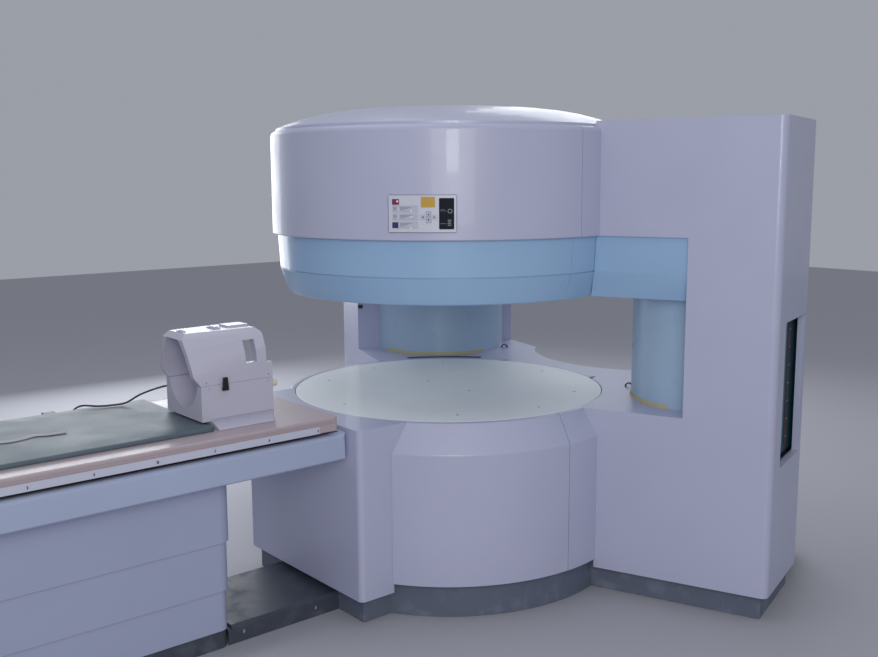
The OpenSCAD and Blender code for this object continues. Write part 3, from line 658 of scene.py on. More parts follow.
@dataclass
class Repeater:
    """Repeats a small part at many places with Geometry Nodes, as one plain mesh for one body.

    Args:
        name: Name of the piece.
        part: The part, about its own origin.
        body: The CAD body that the piece rides on.
        slot: The record's slot of its finish.
        shown: Name of a small print's finish, where it differs from the slot's.
    """

    name: str
    part: bmesh.types.BMesh
    body: str
    slot: str
    shown: str = ""

    def _tree(self) -> bpy.types.GeometryNodeTree:
        """Builds the node tree, with named inputs.

        Returns:
            The tree.
        """
        tree = bpy.data.node_groups.new(f"{self.name}_repeat", "GeometryNodeTree")
        for label, kind, side in (("Places", "Geometry", "INPUT"), ("Part", "Object", "INPUT"),
                                  ("Size", "Float", "INPUT"), ("Finish", "Material", "INPUT"),
                                  ("Repeated", "Geometry", "OUTPUT")):
            tree.interface.new_socket(label, in_out=side, socket_type=f"NodeSocket{kind}")
        nodes, links = tree.nodes, tree.links
        source, result = nodes.new("NodeGroupInput"), nodes.new("NodeGroupOutput")
        part = nodes.new("GeometryNodeObjectInfo")
        turn = nodes.new("GeometryNodeInputNamedAttribute")
        turn.data_type = "FLOAT_VECTOR"
        turn.inputs["Name"].default_value = "turn"
        copies = nodes.new("GeometryNodeInstanceOnPoints")
        real = nodes.new("GeometryNodeRealizeInstances")
        dress = nodes.new("GeometryNodeSetMaterial")
        wires = ((source, "Part", part, "Object"), (source, "Places", copies, "Points"),
                 (part, "Geometry", copies, "Instance"), (turn, "Attribute", copies, "Rotation"),
                 (source, "Size", copies, "Scale"), (copies, "Instances", real, "Geometry"),
                 (real, "Geometry", dress, "Geometry"), (source, "Finish", dress, "Material"),
                 (dress, "Geometry", result, "Repeated"))
        for start, output, end, entry in wires:
            links.new(start.outputs[output], end.inputs[entry])
        return tree

    def build(self, places: Sequence[tuple[Point, Point]], replaced: str = "") -> bpy.types.Object:
        """Repeats the part.

        Args:
            places: Place and Euler turn of each copy.
            replaced: CAD node that the piece stands for.

        Returns:
            The piece.
        """
        points = bpy.data.meshes.new(f"{self.name}_places")
        points.from_pydata([p for p, _ in places], [], [])
        turns = points.attributes.new("turn", "FLOAT_VECTOR", "POINT")
        turns.data.foreach_set("vector", [c for _, t in places for c in t])
        host = link(bpy.data.objects.new(self.name, points))
        part = link(bpy.data.objects.new(f"{self.name}_part", mesh_of(f"{self.name}_part", self.part)))
        tree = self._tree()
        repeat = host.modifiers.new("repeat", "NODES")
        repeat.node_group = tree
        material = PAINT.chosen(self.slot, self.shown)
        values = {"Part": part, "Size": 1.0, "Finish": material}
        for item in tree.interface.items_tree:
            if item.in_out == "INPUT" and item.name in values:
                repeat[item.identifier] = values[item.name]
        mesh = evaluated(host)
        host.modifiers.clear()
        bpy.data.objects.remove(host)
        bpy.data.objects.remove(part)
        obj = add_piece(self.name, mesh, self.body, material)
        if replaced:
            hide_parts(replaced)
        return obj


# Covers with round edges


WELD = 2e-5
FLAT_ANGLE = 0.6
SHARP_ANGLE = 32.0


@dataclass(frozen=True)
class Softening:
    """How one CAD node's edges are rounded.

    Args:
        node: Name of the CAD node.
        width: Width of the rounding, in metres.
        segments: Steps in it.
    """

    node: str
    width: float
    segments: int = 3

    def build(self, slot: str) -> bpy.types.Object:
        """Copies the node with rounded edges, to be shown in its place.

        Args:
            slot: The record's slot of its finish; not used.

        Returns:
            The copy, which replaces the node.
        """
        node = bpy.data.objects[self.node]
        mesh = node.data.copy()
        mesh.name = f"{self.node}_soft"
        bm = bmesh.new()
        bm.from_mesh(mesh)
        bmesh.ops.remove_doubles(bm, verts=bm.verts, dist=WELD)
        bmesh.ops.dissolve_limit(bm, angle_limit=math.radians(FLAT_ANGLE), verts=bm.verts, edges=bm.edges)
        bm.to_mesh(mesh)
        bm.free()
        shade(mesh, SHARP_ANGLE)
        obj = link(bpy.data.objects.new(mesh.name, mesh))
        bevel = obj.modifiers.new("round", "BEVEL")
        bevel.width = self.width
        bevel.segments = self.segments
        bevel.limit_method = "ANGLE"
        bevel.angle_limit = math.radians(SHARP_ANGLE)
        bevel.harden_normals = True
        bevel.use_clamp_overlap = True
        flat = obj.modifiers.new("flat_faces", "WEIGHTED_NORMAL")
        flat.keep_sharp = False
        flat.weight = 100
        final = evaluated(obj)
        obj.modifiers.clear()
        obj.data = final
        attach(obj, node["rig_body"])
        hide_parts(self.node)
        LOG.info("%s: %d faces", obj.name, len(final.polygons))
        return obj


SOFTENED: tuple[Softening, ...] = (
    Softening("near_arm_cover", 0.0025),
    Softening("far_arm_cover", 0.0025),
    Softening("wing_cover", 0.003),
    Softening("near_side_cover", 0.0015),
    Softening("far_side_cover", 0.0015),
    Softening("rear_upper_cover", 0.0015),
    Softening("rear_lower_cover", 0.0015),
    Softening("drum_front_cover", 0.0012),
    Softening("drum_band", 0.001, 2),
    Softening("near_arm_band", 0.0015),
    Softening("far_arm_band", 0.0015),
    Softening("lower_yoke", 0.004, 2),
    Softening("upper_yoke", 0.004, 2),
    Softening("table_beam", 0.009, 4),
    Softening("cradle", 0.0015),
    Softening("cradle_side_strips", 0.0008, 2),
    Softening("tier_1_cover", 0.0008, 2),
    Softening("tier_2_cover", 0.0008, 2),
    Softening("tier_3_cover", 0.0008, 2),
    Softening("pedestal_base", 0.002, 2),
    Softening("base_skirt", 0.001, 2),
    Softening("coil_upper_shell", 0.004, 4),
    Softening("coil_lower_shell", 0.0025, 3),
    Softening("coil_base_plate", 0.002, 2),
    Softening("near_coil_latch", 0.0008, 2),
    Softening("far_coil_latch", 0.0008, 2),
    Softening("hatch_frame", 0.001, 2),
    Softening("lift_drive", 0.003, 2),
    Softening("cradle_drive", 0.002, 2),
    Softening("coil_port", 0.0015, 2),
)


@dataclass
class Frame:
    """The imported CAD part, with its nodes' finishes.
    """

    packed: dict
    slots: dict[str, str] = field(init=False)

    def __post_init__(self) -> None:
        """Reads the slot of each node."""
        self.slots = {p["node"]: p["material_slot"] for p in self.packed["record"]["subparts"]}

    def dress(self) -> None:
        """Gives every CAD node its material and rounds the covers' edges."""
        for name, node in self.packed["nodes"].items():
            node.data.materials.clear()
            node.data.materials.append(PAINT.of_slot(self.slots[name]))
            shade(node.data, 30)
        for rule in SOFTENED:
            rule.build(self.slots[rule.node])


# The cable of the head coil


@dataclass
class CoilCable:
    """The head coil's cable, which lies over the mattress and the cradle's edge to its port.

    Args:
        radius: Radius of the cable.
        route: Points of its centreline, as in the CAD part.
    """

    radius: float = 0.0035
    route: tuple[Point, ...] = (
        (-1.200, 0.095, 0.880), (-1.200, 0.108, 0.880), (-1.202, 0.122, 0.879), (-1.209, 0.136, 0.877),
        (-1.222, 0.150, 0.874), (-1.241, 0.164, 0.868), (-1.263, 0.178, 0.860), (-1.287, 0.193, 0.850),
        (-1.305, 0.209, 0.838), (-1.316, 0.224, 0.826), (-1.328, 0.238, 0.815), (-1.342, 0.250, 0.809),
        (-1.359, 0.259, 0.807), (-1.379, 0.264, 0.807), (-1.402, 0.269, 0.807), (-1.424, 0.282, 0.807),
        (-1.443, 0.304, 0.808), (-1.457, 0.329, 0.807), (-1.471, 0.349, 0.799), (-1.482, 0.359, 0.787),
        (-1.493, 0.361, 0.778), (-1.500, 0.361, 0.775))

    def build(self) -> bpy.types.Object:
        """Returns:
            The cable.
        """
        data = bpy.data.curves.new("head_coil_cable", "CURVE")
        data.dimensions = "3D"
        data.bevel_depth = self.radius
        data.bevel_resolution = 4
        data.resolution_u = 6
        data.use_fill_caps = True
        line = data.splines.new("NURBS")
        line.points.add(len(self.route) - 1)
        for point, place in zip(line.points, self.route):
            point.co = (*place, 1.0)
        line.order_u = 3
        line.use_endpoint_u = True
        obj = link(bpy.data.objects.new("head_coil_cable", data))
        data.materials.append(PAINT.of_slot("cable_black"))
        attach(obj, "cradle")
        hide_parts("coil_cable")
        return obj


# Control panel


@dataclass
class ControlPanel:
    """The printed control panel on the drum's round wall.

    Args:
        azimuth: Direction of its middle, in degrees.
        height: Height of its middle above the floor.
        radius: Radius of its face.
        key_rows: Middle of each row of keys above the panel's middle, in millimetres.
    """

    azimuth: float = 222.3
    height: float = 1.490
    radius: float = 0.728
    key_rows: tuple[float, ...] = (16.5, -11.5, -39.5)

    def _on_wall(self, bm: bmesh.types.BMesh, lift: float) -> bmesh.types.BMesh:
        """Bends a flat print, drawn in millimetres, onto the round wall.

        Args:
            bm: The print, with its thickness along Z.
            lift: Height of its back above the panel's face, in millimetres.

        Returns:
            The bent print, in the row's frame.
        """
        xs = [v.co.x for v in bm.verts]
        cut = math.floor(min(xs) / 8) * 8 + 8
        while cut < max(xs):
            geometry = [*bm.verts, *bm.edges, *bm.faces]
            bmesh.ops.bisect_plane(bm, geom=geometry, plane_co=(cut, 0, 0), plane_no=(1, 0, 0))
            cut += 8
        turn = math.radians(self.azimuth)
        c, s = math.cos(turn), math.sin(turn)
        for v in bm.verts:
            along, up = v.co.x / 1000, v.co.y / 1000
            r = self.radius + (lift + v.co.z) / 1000
            out = math.sqrt(r * r - along * along)
            v.co = (out * c - along * s, out * s + along * c, self.height + up)
        return bm

    def _prints(self, name: str, material: str, shapes: Sequence[Sequence[Flat]], lift: float,
                thick: float) -> None:
        """Adds one piece of prints of one finish.

        Args:
            name: Name of the piece.
            material: Name of the print's finish.
            shapes: Outlines on the panel, in millimetres.
            lift: Height of their backs above the panel's face.
            thick: Their thickness.
        """
        parts = [self._on_wall(plate(shape, 0.0, thick), lift) for shape in shapes]
        add_shape(name, joined(parts), "scanner_frame", getattr(PRINT, material).slot, material)

    def build(self) -> None:
        """Prints the keys, lamps, tile, border and display marks."""
        self._prints("panel_red_key", "red", [rounded(-106, 31, -81, 51, 2)], 1.2, 0.5)
        self._prints("panel_amber_tile", "amber", [rounded(-3, 22, 46, 58, 1.5)], 0.8, 0.6)
        self._prints("panel_navy_key", "navy", [rounded(-106, -50, -84, -30, 2)], 1.2, 0.5)
        self._prints("panel_lamps", "lamp", [spot(-87, 43, 3.6)], 1.7, 0.3)
        lamps = [spot(-38, 9, 3.4), spot(-37, -10, 3.0), spot(-39, -49, 3.2)]
        self._prints("panel_key_lamps", "lamp", lamps, 1.2, 0.5)
        rows: list[list[Flat]] = []
        for y in self.key_rows:
            for step in (4.5, 0.5, -3.5):
                rows.append(rounded(-78, y + step, -50 + 3 * step, y + step + 1.8, 0.4))
                if y > -30:
                    rows.append(rounded(-102, y + step, -90, y + step + 1.8, 0.4))
        self._prints("panel_key_bars", "grey", rows, 1.2, 0.25)
        self._prints("panel_arrows", "dark", self._arrows(), 1.2, 0.25)
        border = [rounded(-120, 64.4, 120, 66.2, 0.6), rounded(-120, -66.2, 120, -64.4, 0.6),
                  rounded(-121.6, -62, -119.8, 62, 0.6), rounded(119.8, -62, 121.6, 62, 0.6)]
        self._prints("panel_border", "dark", border, 0.0, 0.4)
        keys = [rounded(-106, y + edge, -13, y + edge + 0.9, 0.3)
                for y in self.key_rows for edge in (-10.8, 9.9)]
        self._prints("panel_key_lines", "grey", keys, 0.0, 0.3)
        ring = []
        for k in range(12):
            a, b = math.radians(30 * k), math.radians(30 * k + 30)
            corners = ((8, a), (8, b), (6, b), (6, a))
            ring.append([(98 + r * math.cos(c), 9 + r * math.sin(c)) for r, c in corners])
        self._prints("display_ring", "ring", ring, 1.0, 0.3)
        marks = [rounded(64, 9, 86, 10.4, 0.5), rounded(64, 14, 80, 15.2, 0.5),
                 rounded(64, -35, 86, -33.6, 0.5)]
        marks += [rounded(90, -42 + 6 * k, 102, -38.6 + 6 * k, 0.6) for k in range(4)]
        self._prints("display_marks", "green", marks, 1.0, 0.3)

    def _arrows(self) -> list[list[Flat]]:
        """Outlines of the two middle keys, and the four arrows.

        Returns:
            The shapes, in millimetres.
        """
        shapes: list[list[Flat]] = []
        for y in (-1.5, -22.5):
            x0, x1, y0, y1 = 14.6, 32.4, y - 8.9, y + 8.9
            shapes += [rounded(x0, y1 - 1, x1, y1, 0.4), rounded(x0, y0, x1, y0 + 1, 0.4),
                       rounded(x0, y0 + 1.2, x0 + 1, y1 - 1.2, 0.4),
                       rounded(x1 - 1, y0 + 1.2, x1, y1 - 1.2, 0.4)]
        for k in range(4):
            c, s = round(math.cos(k * math.pi / 2)), round(math.sin(k * math.pi / 2))
            reach = 9 if k % 2 == 0 else -1
            shapes.append([(23.5 + (x + reach) * c - y * s, -12 + (x + reach) * s + y * c)
                           for x, y in ((8, -4.5), (15, 0), (8, 4.5))])
        return shapes


# Screws and other small repeated parts


@dataclass
class Fasteners:
    """Screws on the covers, the duct, the cradle's strips and the coil, and what repeats inside.

    Args:
        deck: Height of the lower pole's cover.
        screw_ring: Radius of the ring of its screws.
        bearings: Directions of those screws, in degrees.
    """

    deck: float = 0.730
    screw_ring: float = 0.540
    bearings: tuple[float, ...] = (-4, -54, -90, -127, 126, 90, 52, 180)

    def build(self) -> None:
        """Adds every set."""
        self._cover_screws()
        self._strip_screws()
        self._coil_screws()
        self._inside()

    def _cover_screws(self) -> None:
        """The pole cover's screws, and the two large ones on the duct."""
        ring = [(self.screw_ring, math.radians(a)) for a in self.bearings]
        ring += [(0.136, math.pi / 2), (0.136, -math.pi / 2)]
        seat = self.deck - 0.0022
        places = [((r * math.cos(a), r * math.sin(a), seat), (0.0, 0.0, a * 1.7)) for r, a in ring]
        places += [((x, -0.2050, 0.034), (math.radians(90), 0.0, 0.4)) for x in (-1.130, -0.830)]
        Repeater("cover_screw_heads", screw_head(0.0072, 0.0024), "scanner_frame", "screw_white").build(
            places, "cover_screws")

    def _strip_screws(self) -> None:
        """The screws along both side strips of the cradle."""
        places = []
        x = -0.892
        while x > -2.890:
            for side in (-1, 1):
                places.append(((x, side * 0.3461, 0.747), (math.radians(-90 * side), 0.0, x * 9)))
            x -= 0.197
        Repeater("strip_screw_heads", screw_head(0.0052, 0.0018), "cradle", "steel", "screw").build(
            places, "strip_screws")

    def _coil_screws(self) -> None:
        """The small screws on both sides of the head coil."""
        sets = {"cradle": ((-1.2205, 0.916), (-0.9955, 0.917)),
                "coil_top": ((-1.2305, 0.938), (-0.994, 0.939))}
        for body, spots in sets.items():
            places = []
            for x, z in spots:
                for side, y in ((-1, -0.1919), (1, 0.0719)):
                    places.append(((x, y, z), (math.radians(-90 * side), 0.0, x * 30)))
            heads = Repeater(f"coil_screw_heads_{body}", screw_head(0.0031, 0.0011), body, "steel", "screw")
            heads.build(places)

    def _inside(self) -> None:
        """Bolts of the yokes and rails, and the teeth of the cradle's belt."""
        top = extent("upper_yoke")[1].z
        bolts = []
        for column in ("near_yoke_column", "far_yoke_column"):
            low, high = extent(column)
            middle = (low + high) / 2
            for k in range(8):
                a = math.radians(45 * k + 22.5)
                place = (middle.x + 0.13 * math.cos(a), middle.y + 0.13 * math.sin(a), top)
                bolts.append((place, (0.0, 0.0, a)))
        for k in range(12):
            a = math.radians(30 * k + 10)
            bolts.append(((0.30 * math.cos(a), 0.30 * math.sin(a), top), (0.0, 0.0, a)))
        head = bevelled(plate(hexagon(0.016), 0.0, 0.011), 0.001, 1)
        Repeater("yoke_bolts", head, "scanner_frame", "steel").build(bolts)
        rails = [((x / 1000, side * 0.2160, 0.7310), (0.0, 0.0, x)) for x in range(-2880, -800, 200)
                 for side in (-1, 1)]
        Repeater("rail_screws", screw_head(0.0045, 0.0012), "table_beam", "steel").build(rails)
        teeth = [((-2.79 + 0.012 * k, 0.0, 0.6985), (0.0, 0.0, 0.0)) for k in range(145)]
        Repeater("belt_teeth", block((-0.003, -0.0155, -0.0012), (0.003, 0.0155, 0.0016)), "table_beam",
                 "drive_dark").build(teeth)


# Mattress and strap


@dataclass
class Mattress:
    """The thin teal mattress on the cradle, softened by a short cloth simulation.

    Args:
        low: Lowest corner of its space.
        high: Highest corner of its space.
        corner: Radius of its corners in plan.
        cell: Size of a mesh cell.
        swell: How far the simulation may move a point.
    """

    low: Point = (-2.910, -0.250, 0.783)
    high: Point = (-1.222, 0.330, 0.803)
    corner: float = 0.018
    cell: float = 0.0145
    swell: float = 0.0024

    def _spot(self, x: float, y: float, inset: float) -> Flat:
        """A grid point, moved inwards and round the corners.

        Args:
            x: Share of the length.
            y: Share of the width.
            inset: How far the edge is moved in.

        Returns:
            The point in plan.
        """
        x0, y0, x1, y1 = self.low[0] + inset, self.low[1] + inset, self.high[0] - inset, self.high[1] - inset
        px, py = x0 + (x1 - x0) * x, y0 + (y1 - y0) * y
        r = self.corner
        cx, cy = min(max(px, x0 + r), x1 - r), min(max(py, y0 + r), y1 - r)
        gap = math.hypot(px - cx, py - cy)
        if px != cx and py != cy and gap > r:
            px, py = cx + (px - cx) * r / gap, cy + (py - cy) * r / gap
        return px, py

    def _mesh(self) -> bmesh.types.BMesh:
        """A closed mat of square cells, with a rounded side.

        Returns:
            The mat.
        """
        nx = round((self.high[0] - self.low[0]) / self.cell)
        ny = round((self.high[1] - self.low[1]) / self.cell)
        bm = bmesh.new()
        z0, z1 = self.low[2], self.high[2] - self.swell - 0.0006
        sheets = []
        for z, inset in ((z0, 0.005), (z1, 0.005)):
            rows = []
            for i in range(nx + 1):
                row = []
                for j in range(ny + 1):
                    x, y = self._spot(i / nx, j / ny, inset)
                    wave = 0.0
                    if z > z0:
                        wave = 0.0011 * noise.noise((x * 5.0, y * 9.0, 0.3)) - 0.0006
                    row.append(bm.verts.new((x, y, z + wave)))
                rows.append(row)
            sheets.append(rows)
        for rows in sheets:
            for i in range(nx):
                for j in range(ny):
                    bm.faces.new((rows[i][j], rows[i + 1][j], rows[i + 1][j + 1], rows[i][j + 1]))
        rims = []
        for rows in sheets:
            rim = [rows[i][0] for i in range(nx + 1)] + [rows[nx][j] for j in range(1, ny + 1)]
            rim += [rows[i][ny] for i in range(nx - 1, -1, -1)] + [rows[0][j] for j in range(ny - 1, 0, -1)]
            rims.append(rim)
        sides = [rims[0]]
        for share in (0.2, 0.55, 0.85):
            ring = []
            for low, high in zip(*rims):
                out = 0.0034 * math.sin(math.pi * min(share + 0.12, 1.0)) ** 0.5
                x = (low.co.x - (self.low[0] + self.high[0]) / 2) / (self.high[0] - self.low[0])
                y = (low.co.y - (self.low[1] + self.high[1]) / 2) / (self.high[1] - self.low[1])
                push = Vector((math.copysign(out, x) if abs(x) > 0.494 else 0.0,
                               math.copysign(out, y) if abs(y) > 0.483 else 0.0, 0.0))
                ring.append(bm.verts.new(low.co.lerp(high.co, share) + push))
            sides.append(ring)
        sides.append(rims[1])
        for low, high in zip(sides, sides[1:]):
            for k in range(len(low)):
                n = (k + 1) % len(low)
                bm.faces.new((low[k], low[n], high[n], high[k]))
        return bm

    def _inflate(self, obj: bpy.types.Object) -> None:
        """Runs the cloth simulation, with each point's travel capped.

        Args:
            obj: The mat, whose points are moved.
        """
        start = [v.co.copy() for v in obj.data.vertices]
        held = obj.vertex_groups.new(name="held")
        held.add([v.index for v in obj.data.vertices if v.co.z < self.low[2] + 0.001], 1.0, "REPLACE")
        cloth = obj.modifiers.new("fill", "CLOTH")
        cloth.settings.vertex_group_mass = "held"
        cloth.settings.use_pressure = True
        cloth.settings.uniform_pressure_force = 3.0
        cloth.settings.effector_weights.gravity = 0.0
        cloth.settings.quality = 5
        scene = bpy.context.scene
        for frame in range(1, 13):
            scene.frame_set(frame)
        shape = evaluated(obj)
        scene.frame_set(1)
        obj.modifiers.clear()
        obj.vertex_groups.clear()
        for vertex, origin, final in zip(obj.data.vertices, start, shape.vertices):
            step = final.co - origin
            if step.length > self.swell:
                step *= self.swell / step.length
            vertex.co = origin + step
        bpy.data.meshes.remove(shape)

    def build(self) -> bpy.types.Object:
        """Returns:
            The mattress.
        """
        obj = add_shape("mattress_pad", self._mesh(), "cradle", "pad_teal", smooth_angle=80.0)
        self._inflate(obj)
        finer = obj.modifiers.new("finer", "SUBSURF")
        finer.levels = finer.render_levels = 1
        obj.data = evaluated(obj)
        obj.modifiers.clear()
        obj.data.shade_smooth()
        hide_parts("mattress")
        return obj


@dataclass
class Strap:
    """The white woven strap that lies loosely along the mattress.

    Args:
        line: Points of its middle line in plan.
        width: Its width.
        thick: Its thickness.
        rest: Height that it lies on.
    """

    line: tuple[Flat, ...] = (
        (-2.690, 0.012), (-2.560, -0.004), (-2.430, 0.006), (-2.300, 0.016), (-2.170, 0.002),
        (-2.050, -0.010), (-1.950, 0.000), (-1.880, 0.008), (-1.820, -0.008), (-1.775, 0.000),
        (-1.735, 0.014), (-1.695, 0.000), (-1.640, -0.006))
    width: float = 0.029
    thick: float = 0.0012
    rest: float = 0.8034

    def _smooth(self, per: int = 10) -> list[Vector]:
        """The middle line as a smooth curve through its points.

        Args:
            per: Steps between two points.

        Returns:
            The curve's points.
        """
        pts = [Vector((x, y, 0.0)) for x, y in self.line]
        out: list[Vector] = []
        for i in range(len(pts) - 1):
            a, b, c, d = pts[max(i - 1, 0)], pts[i], pts[i + 1], pts[min(i + 2, len(pts) - 1)]
            for k in range(per):
                t = k / per
                out.append(0.5 * ((2 * b) + (c - a) * t + (2 * a - 5 * b + 4 * c - d) * t * t
                                  + (3 * b - a - 3 * c + d) * t ** 3))
        out.append(pts[-1])
        return out

    def build(self) -> bpy.types.Object:
        """Returns:
            The strap.
        """
        line = self._smooth()
        half = self.width / 2
        rings = []
        for i, point in enumerate(line):
            ahead = (line[min(i + 1, len(line) - 1)] - line[max(i - 1, 0)]).normalized()
            side = Vector((-ahead.y, ahead.x, 0.0))
            lift = self.rest + 0.0005 + 0.0010 * (noise.noise((point.x * 11.0, 0.0, 2.0)) + 0.3)
            tilt = 0.0007 * noise.noise((point.x * 8.0, 4.0, 0.0))
            ring = []
            for across, up in ((-1, 0), (-0.5, 0), (0, 0), (0.5, 0), (1, 0), (1, 1), (0.5, 1.15), (0, 1.2),
                               (-0.5, 1.15), (-1, 1)):
                place = point + side * (across * half)
                ring.append((place.x, place.y, max(self.rest, lift + tilt * across) + up * self.thick))
            rings.append(ring)
        obj = add_shape("laid_strap", stacked(rings), "cradle", "strap_white", smooth_angle=50.0)
        length = sum((b - a).length for a, b in zip(line, line[1:]))
        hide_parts("mattress_strap")
        return obj


# Head coil


@dataclass
class HeadCoil:
    """What the head coil has beyond its CAD shells.

    Args:
        crown: Height of the shell's crown.
        bumps: Plan of each catch, as two x and two y.
    """

    crown: float = 1.0988
    bumps: tuple[tuple[float, float, float, float], ...] = (
        (-1.262, -1.244, -0.084, -0.050), (-1.142, -1.116, -0.088, -0.034))

    def build(self) -> None:
        """Adds the two catches on top of the crown."""
        parts = []
        for x0, x1, y0, y1 in self.bumps:
            parts.append(block((x0, y0, self.crown), (x1, y1, self.crown + 0.0055), 0.002))
            parts.append(block((x0 + 0.005, y0 + 0.007, self.crown + 0.004),
                               (x1 - 0.005, y1 - 0.007, self.crown + 0.0085), 0.0015))
        add_shape("coil_top_catches", joined(parts), "coil_top", "coil_white")


# Housing


@dataclass
class HousingTrim:
    """Small trim of the housing: cable hooks, post clip, duct end, a dark strip of painted shade in the
    deck's gap and what the hatch shows.

    Args:
        hooks: Foot of each cable hook, with the direction that it spans.
        clip: Place of the clip on the far post, with the post's direction.
        gap_shade: Inner and outer radius of the dark strip of painted shade in the deck's gap.
        hatch_corner: Front corner of the near arm's end face.
        hatch_bearing: Direction of that face in plan, in degrees.
        bars: Distance of each earth bar along the face from that corner.
    """

    hooks: tuple[tuple[Point, float], ...] = (
        ((0.864, 0.552, 0.7302), -60.7), ((0.565, -0.525, 0.7302), 109.0))
    clip: tuple[Point, float] = ((0.2709, 1.0170, 0.954), 69.25)
    gap_shade: Flat = (0.684, 0.722)
    hatch_corner: Point = (0.3761, -1.3311, 0.0)
    hatch_bearing: float = 17.45
    bars: tuple[float, float] = (0.345, 0.353)

    def _hook(self, foot: Point, bearing: float) -> bmesh.types.BMesh:
        """A half ring of flat bar that stands on the deck.

        Args:
            foot: Its middle on the deck.
            bearing: Direction that it spans, in degrees.

        Returns:
            The hook.
        """
        rings = []
        for k in range(13):
            a = math.radians(15 * k)
            ring = []
            for r, w in ((0.013, -0.006), (0.018, -0.006), (0.018, 0.006), (0.013, 0.006)):
                ring.append((r * math.cos(a), w, r * math.sin(a)))
            rings.append(ring)
        return bevelled(moved(stacked(rings), placed(foot, bearing)), 0.0008, 1)

    def build(self) -> None:
        """Adds the trim."""
        hooks = joined([self._hook(foot, bearing) for foot, bearing in self.hooks])
        add_shape("cable_hooks", hooks, "scanner_frame", "latch_black", "slot")
        clip = moved(block((-0.005, -0.012, -0.010), (0.0029, 0.012, 0.008), 0.001), placed(*self.clip))
        add_shape("post_clip", clip, "scanner_frame", "latch_black", "slot")
        self._duct_end()
        self._deck_gap_shade()
        self._hatch_bars()

    def _duct_end(self) -> None:
        """The thin end wall where the floor duct steps down under the table's covers."""
        outline = ((-0.2048, 0.045), (0.2048, 0.045), (0.2048, 0.0578), (0.1948, 0.0678), (-0.1948, 0.0678),
                   (-0.2048, 0.0578))
        wall = stacked([[(x, y, z) for y, z in outline] for x in (-1.1759, -1.1735)])
        add_shape("duct_end_wall", wall, "scanner_frame", "duct_dark")

    def _deck_gap_shade(self) -> None:
        """A dark strip of painted shade in the deck's gap between the pole's cover and the far column, not a
        real part.
        """
        turn = [math.radians(36 + 1.5 * k) for k in range(21)]
        inner, outer = self.gap_shade
        outline = [(outer * math.cos(a), outer * math.sin(a)) for a in turn]
        outline += [(inner * math.cos(a), inner * math.sin(a)) for a in reversed(turn)]
        # Painted shade: a thin dark strip laid in the deck where the gap is in shadow.
        add_shape("deck_seal", plate(outline, 0.7299, 0.7306), "scanner_frame", "latch_black", "slot")

    def _hatch_bars(self) -> None:
        """Two earth bars with their nuts, and a dark back plate, behind the service hatch."""
        turn = placed(self.hatch_corner, self.hatch_bearing)
        bars = [moved(block((m, 0.044, 0.580), (m + 0.004, 0.047, 1.075), 0.0005), turn) for m in self.bars]
        add_shape("earth_bars", joined(bars), "scanner_frame", "coil_resin", "copper")
        back = moved(block((0.100, 0.050, 0.555), (0.560, 0.056, 1.100), 0.001), turn)
        add_shape("hatch_backplate", back, "scanner_frame", "drive_dark", "teal")
        nuts = [turn @ Vector((m + 0.002, 0.044, 0.62 + 0.07 * k)) for m in self.bars for k in range(7)]
        facing = (math.radians(90), 0.0, math.radians(self.hatch_bearing))
        Repeater("earth_bar_nuts", plate(hexagon(0.003), 0.0, 0.004), "scanner_frame", "steel").build(
            [(tuple(n), facing) for n in nuts])


# Stage and camera


PICTURE_WIDTH = 878.0
SENSOR_WIDTH = 36.0


@dataclass(frozen=True)
class Camera:
    """A pinhole camera.

    Args:
        place: Where it stands, in metres.
        yaw: Direction of view in plan from +X, in radians.
        pitch: How far it looks down, in radians.
        roll: Its roll, in radians.
        focal: Focal length in pixels of the picture.
    """

    place: Point
    yaw: float
    pitch: float
    roll: float
    focal: float

    def build(self) -> bpy.types.Object:
        """Adds the camera and makes it the scene's.

        Returns:
            The camera.
        """
        level = math.cos(self.pitch)
        forward = Vector((math.cos(self.yaw) * level, math.sin(self.yaw) * level, -math.sin(self.pitch)))
        right = Vector((math.sin(self.yaw), -math.cos(self.yaw), 0.0))
        down = forward.cross(right)
        turned_right = right * math.cos(self.roll) + down * math.sin(self.roll)
        turned_down = down * math.cos(self.roll) - right * math.sin(self.roll)
        data = bpy.data.cameras.new("camera")
        data.sensor_width = SENSOR_WIDTH
        data.lens = SENSOR_WIDTH * self.focal / PICTURE_WIDTH
        data.clip_end = 60.0
        obj = link(bpy.data.objects.new("camera", data))
        axes = Matrix((turned_right, -turned_down, -forward)).transposed()
        obj.matrix_world = Matrix.Translation(Vector(self.place)) @ axes.to_4x4()
        bpy.context.scene.camera = obj
        return obj


@dataclass(frozen=True)
class Lamp:
    """One soft area lamp.

    Args:
        name: Name of the lamp.
        place: Where it hangs.
        aim: Point that it faces.
        size: Side of its square.
        power: Its power, in watts.
        colour: Its colour.
    """

    name: str
    place: Point
    aim: Point
    size: float
    power: float
    colour: Colour

    def build(self) -> None:
        """Hangs the lamp."""
        data = bpy.data.lights.new(self.name, "AREA")
        data.size = self.size
        data.energy = self.power
        data.color = self.colour
        lamp = link(bpy.data.objects.new(self.name, data))
        lamp.location = self.place
        lamp.rotation_euler = (Vector(self.aim) - Vector(self.place)).to_track_quat("-Z", "Y").to_euler()


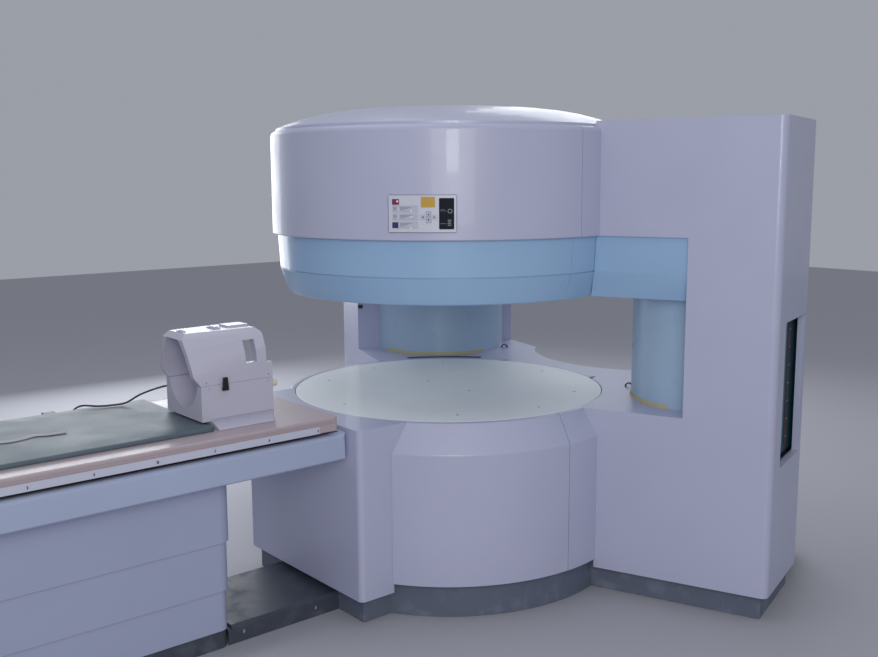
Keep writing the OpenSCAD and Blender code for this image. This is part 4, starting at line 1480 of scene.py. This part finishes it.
@dataclass(frozen=True)
class Stage:
    """The pale floor and the light.

    Args:
        floor_colour: Colour of the floor.
        sky: Colour of the light from all sides.
        strength: Its strength.
        lamps: The lamps.
    """

    floor_colour: Colour = (0.46, 0.46, 0.50)
    sky: Colour = (0.78, 0.82, 0.92)
    strength: float = 0.42
    lamps: tuple[Lamp, ...] = (
        Lamp("key", (-3.0, -3.9, 2.3), (0.0, 0.0, 0.9), 2.2, 55.0, (1.0, 0.98, 0.96)),
        Lamp("window", (3.4, 1.6, 3.1), (0.0, 0.0, 0.85), 2.4, 40.0, (0.92, 0.96, 1.0)),
        Lamp("far_side", (0.2, 4.2, 1.8), (0.0, 0.2, 0.8), 2.4, 62.0, (0.92, 0.96, 1.0)),
        Lamp("front", (-2.6, -3.35, 1.9), (0.0, 0.0, 1.3), 0.5, 9.0, (1.0, 1.0, 1.0)),
        Lamp("ceiling", (-0.8, 0.4, 4.2), (-0.8, 0.0, 0.0), 3.4, 26.0, (1.0, 0.99, 0.98)))

    def build(self) -> None:
        """Lays the floor and sets the light."""
        bm = bmesh.new()
        bmesh.ops.create_grid(bm, x_segments=1, y_segments=1, size=14.0)
        mesh = mesh_of("floor", moved(bm, Matrix.Translation((0.0, 0.0, -0.001))))
        floor = link(bpy.data.objects.new("floor", mesh))
        tree = ShaderTree("floor")
        tree.feed(tree.shader.inputs["Base Color"], (*self.floor_colour, 1.0))
        tree.feed(tree.shader.inputs["Roughness"], 0.6)
        floor.data.materials.append(tree.material)
        world = bpy.data.worlds.new("world")
        world.use_nodes = True
        background = world.node_tree.nodes["Background"]
        background.inputs["Color"].default_value = (*self.sky, 1.0)
        background.inputs["Strength"].default_value = self.strength
        bpy.context.scene.world = world
        for lamp in self.lamps:
            lamp.build()
        bpy.context.scene.view_settings.view_transform = "Standard"


def main() -> None:
    """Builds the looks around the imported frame."""
    logging.basicConfig(level=logging.INFO, format="%(name)s: %(message)s")
    frame = Frame(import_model())
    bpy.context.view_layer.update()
    Camera((-2.7484, -3.2035, 1.6111), 0.8709, 0.1488, 0.0049, 1000.76).build()
    CoilCable().build()
    frame.dress()
    ControlPanel().build()
    Fasteners().build()
    Mattress().build()
    Strap().build()
    HeadCoil().build()
    HousingTrim().build()
    Stage().build()


if __name__ == "__main__":
    main()
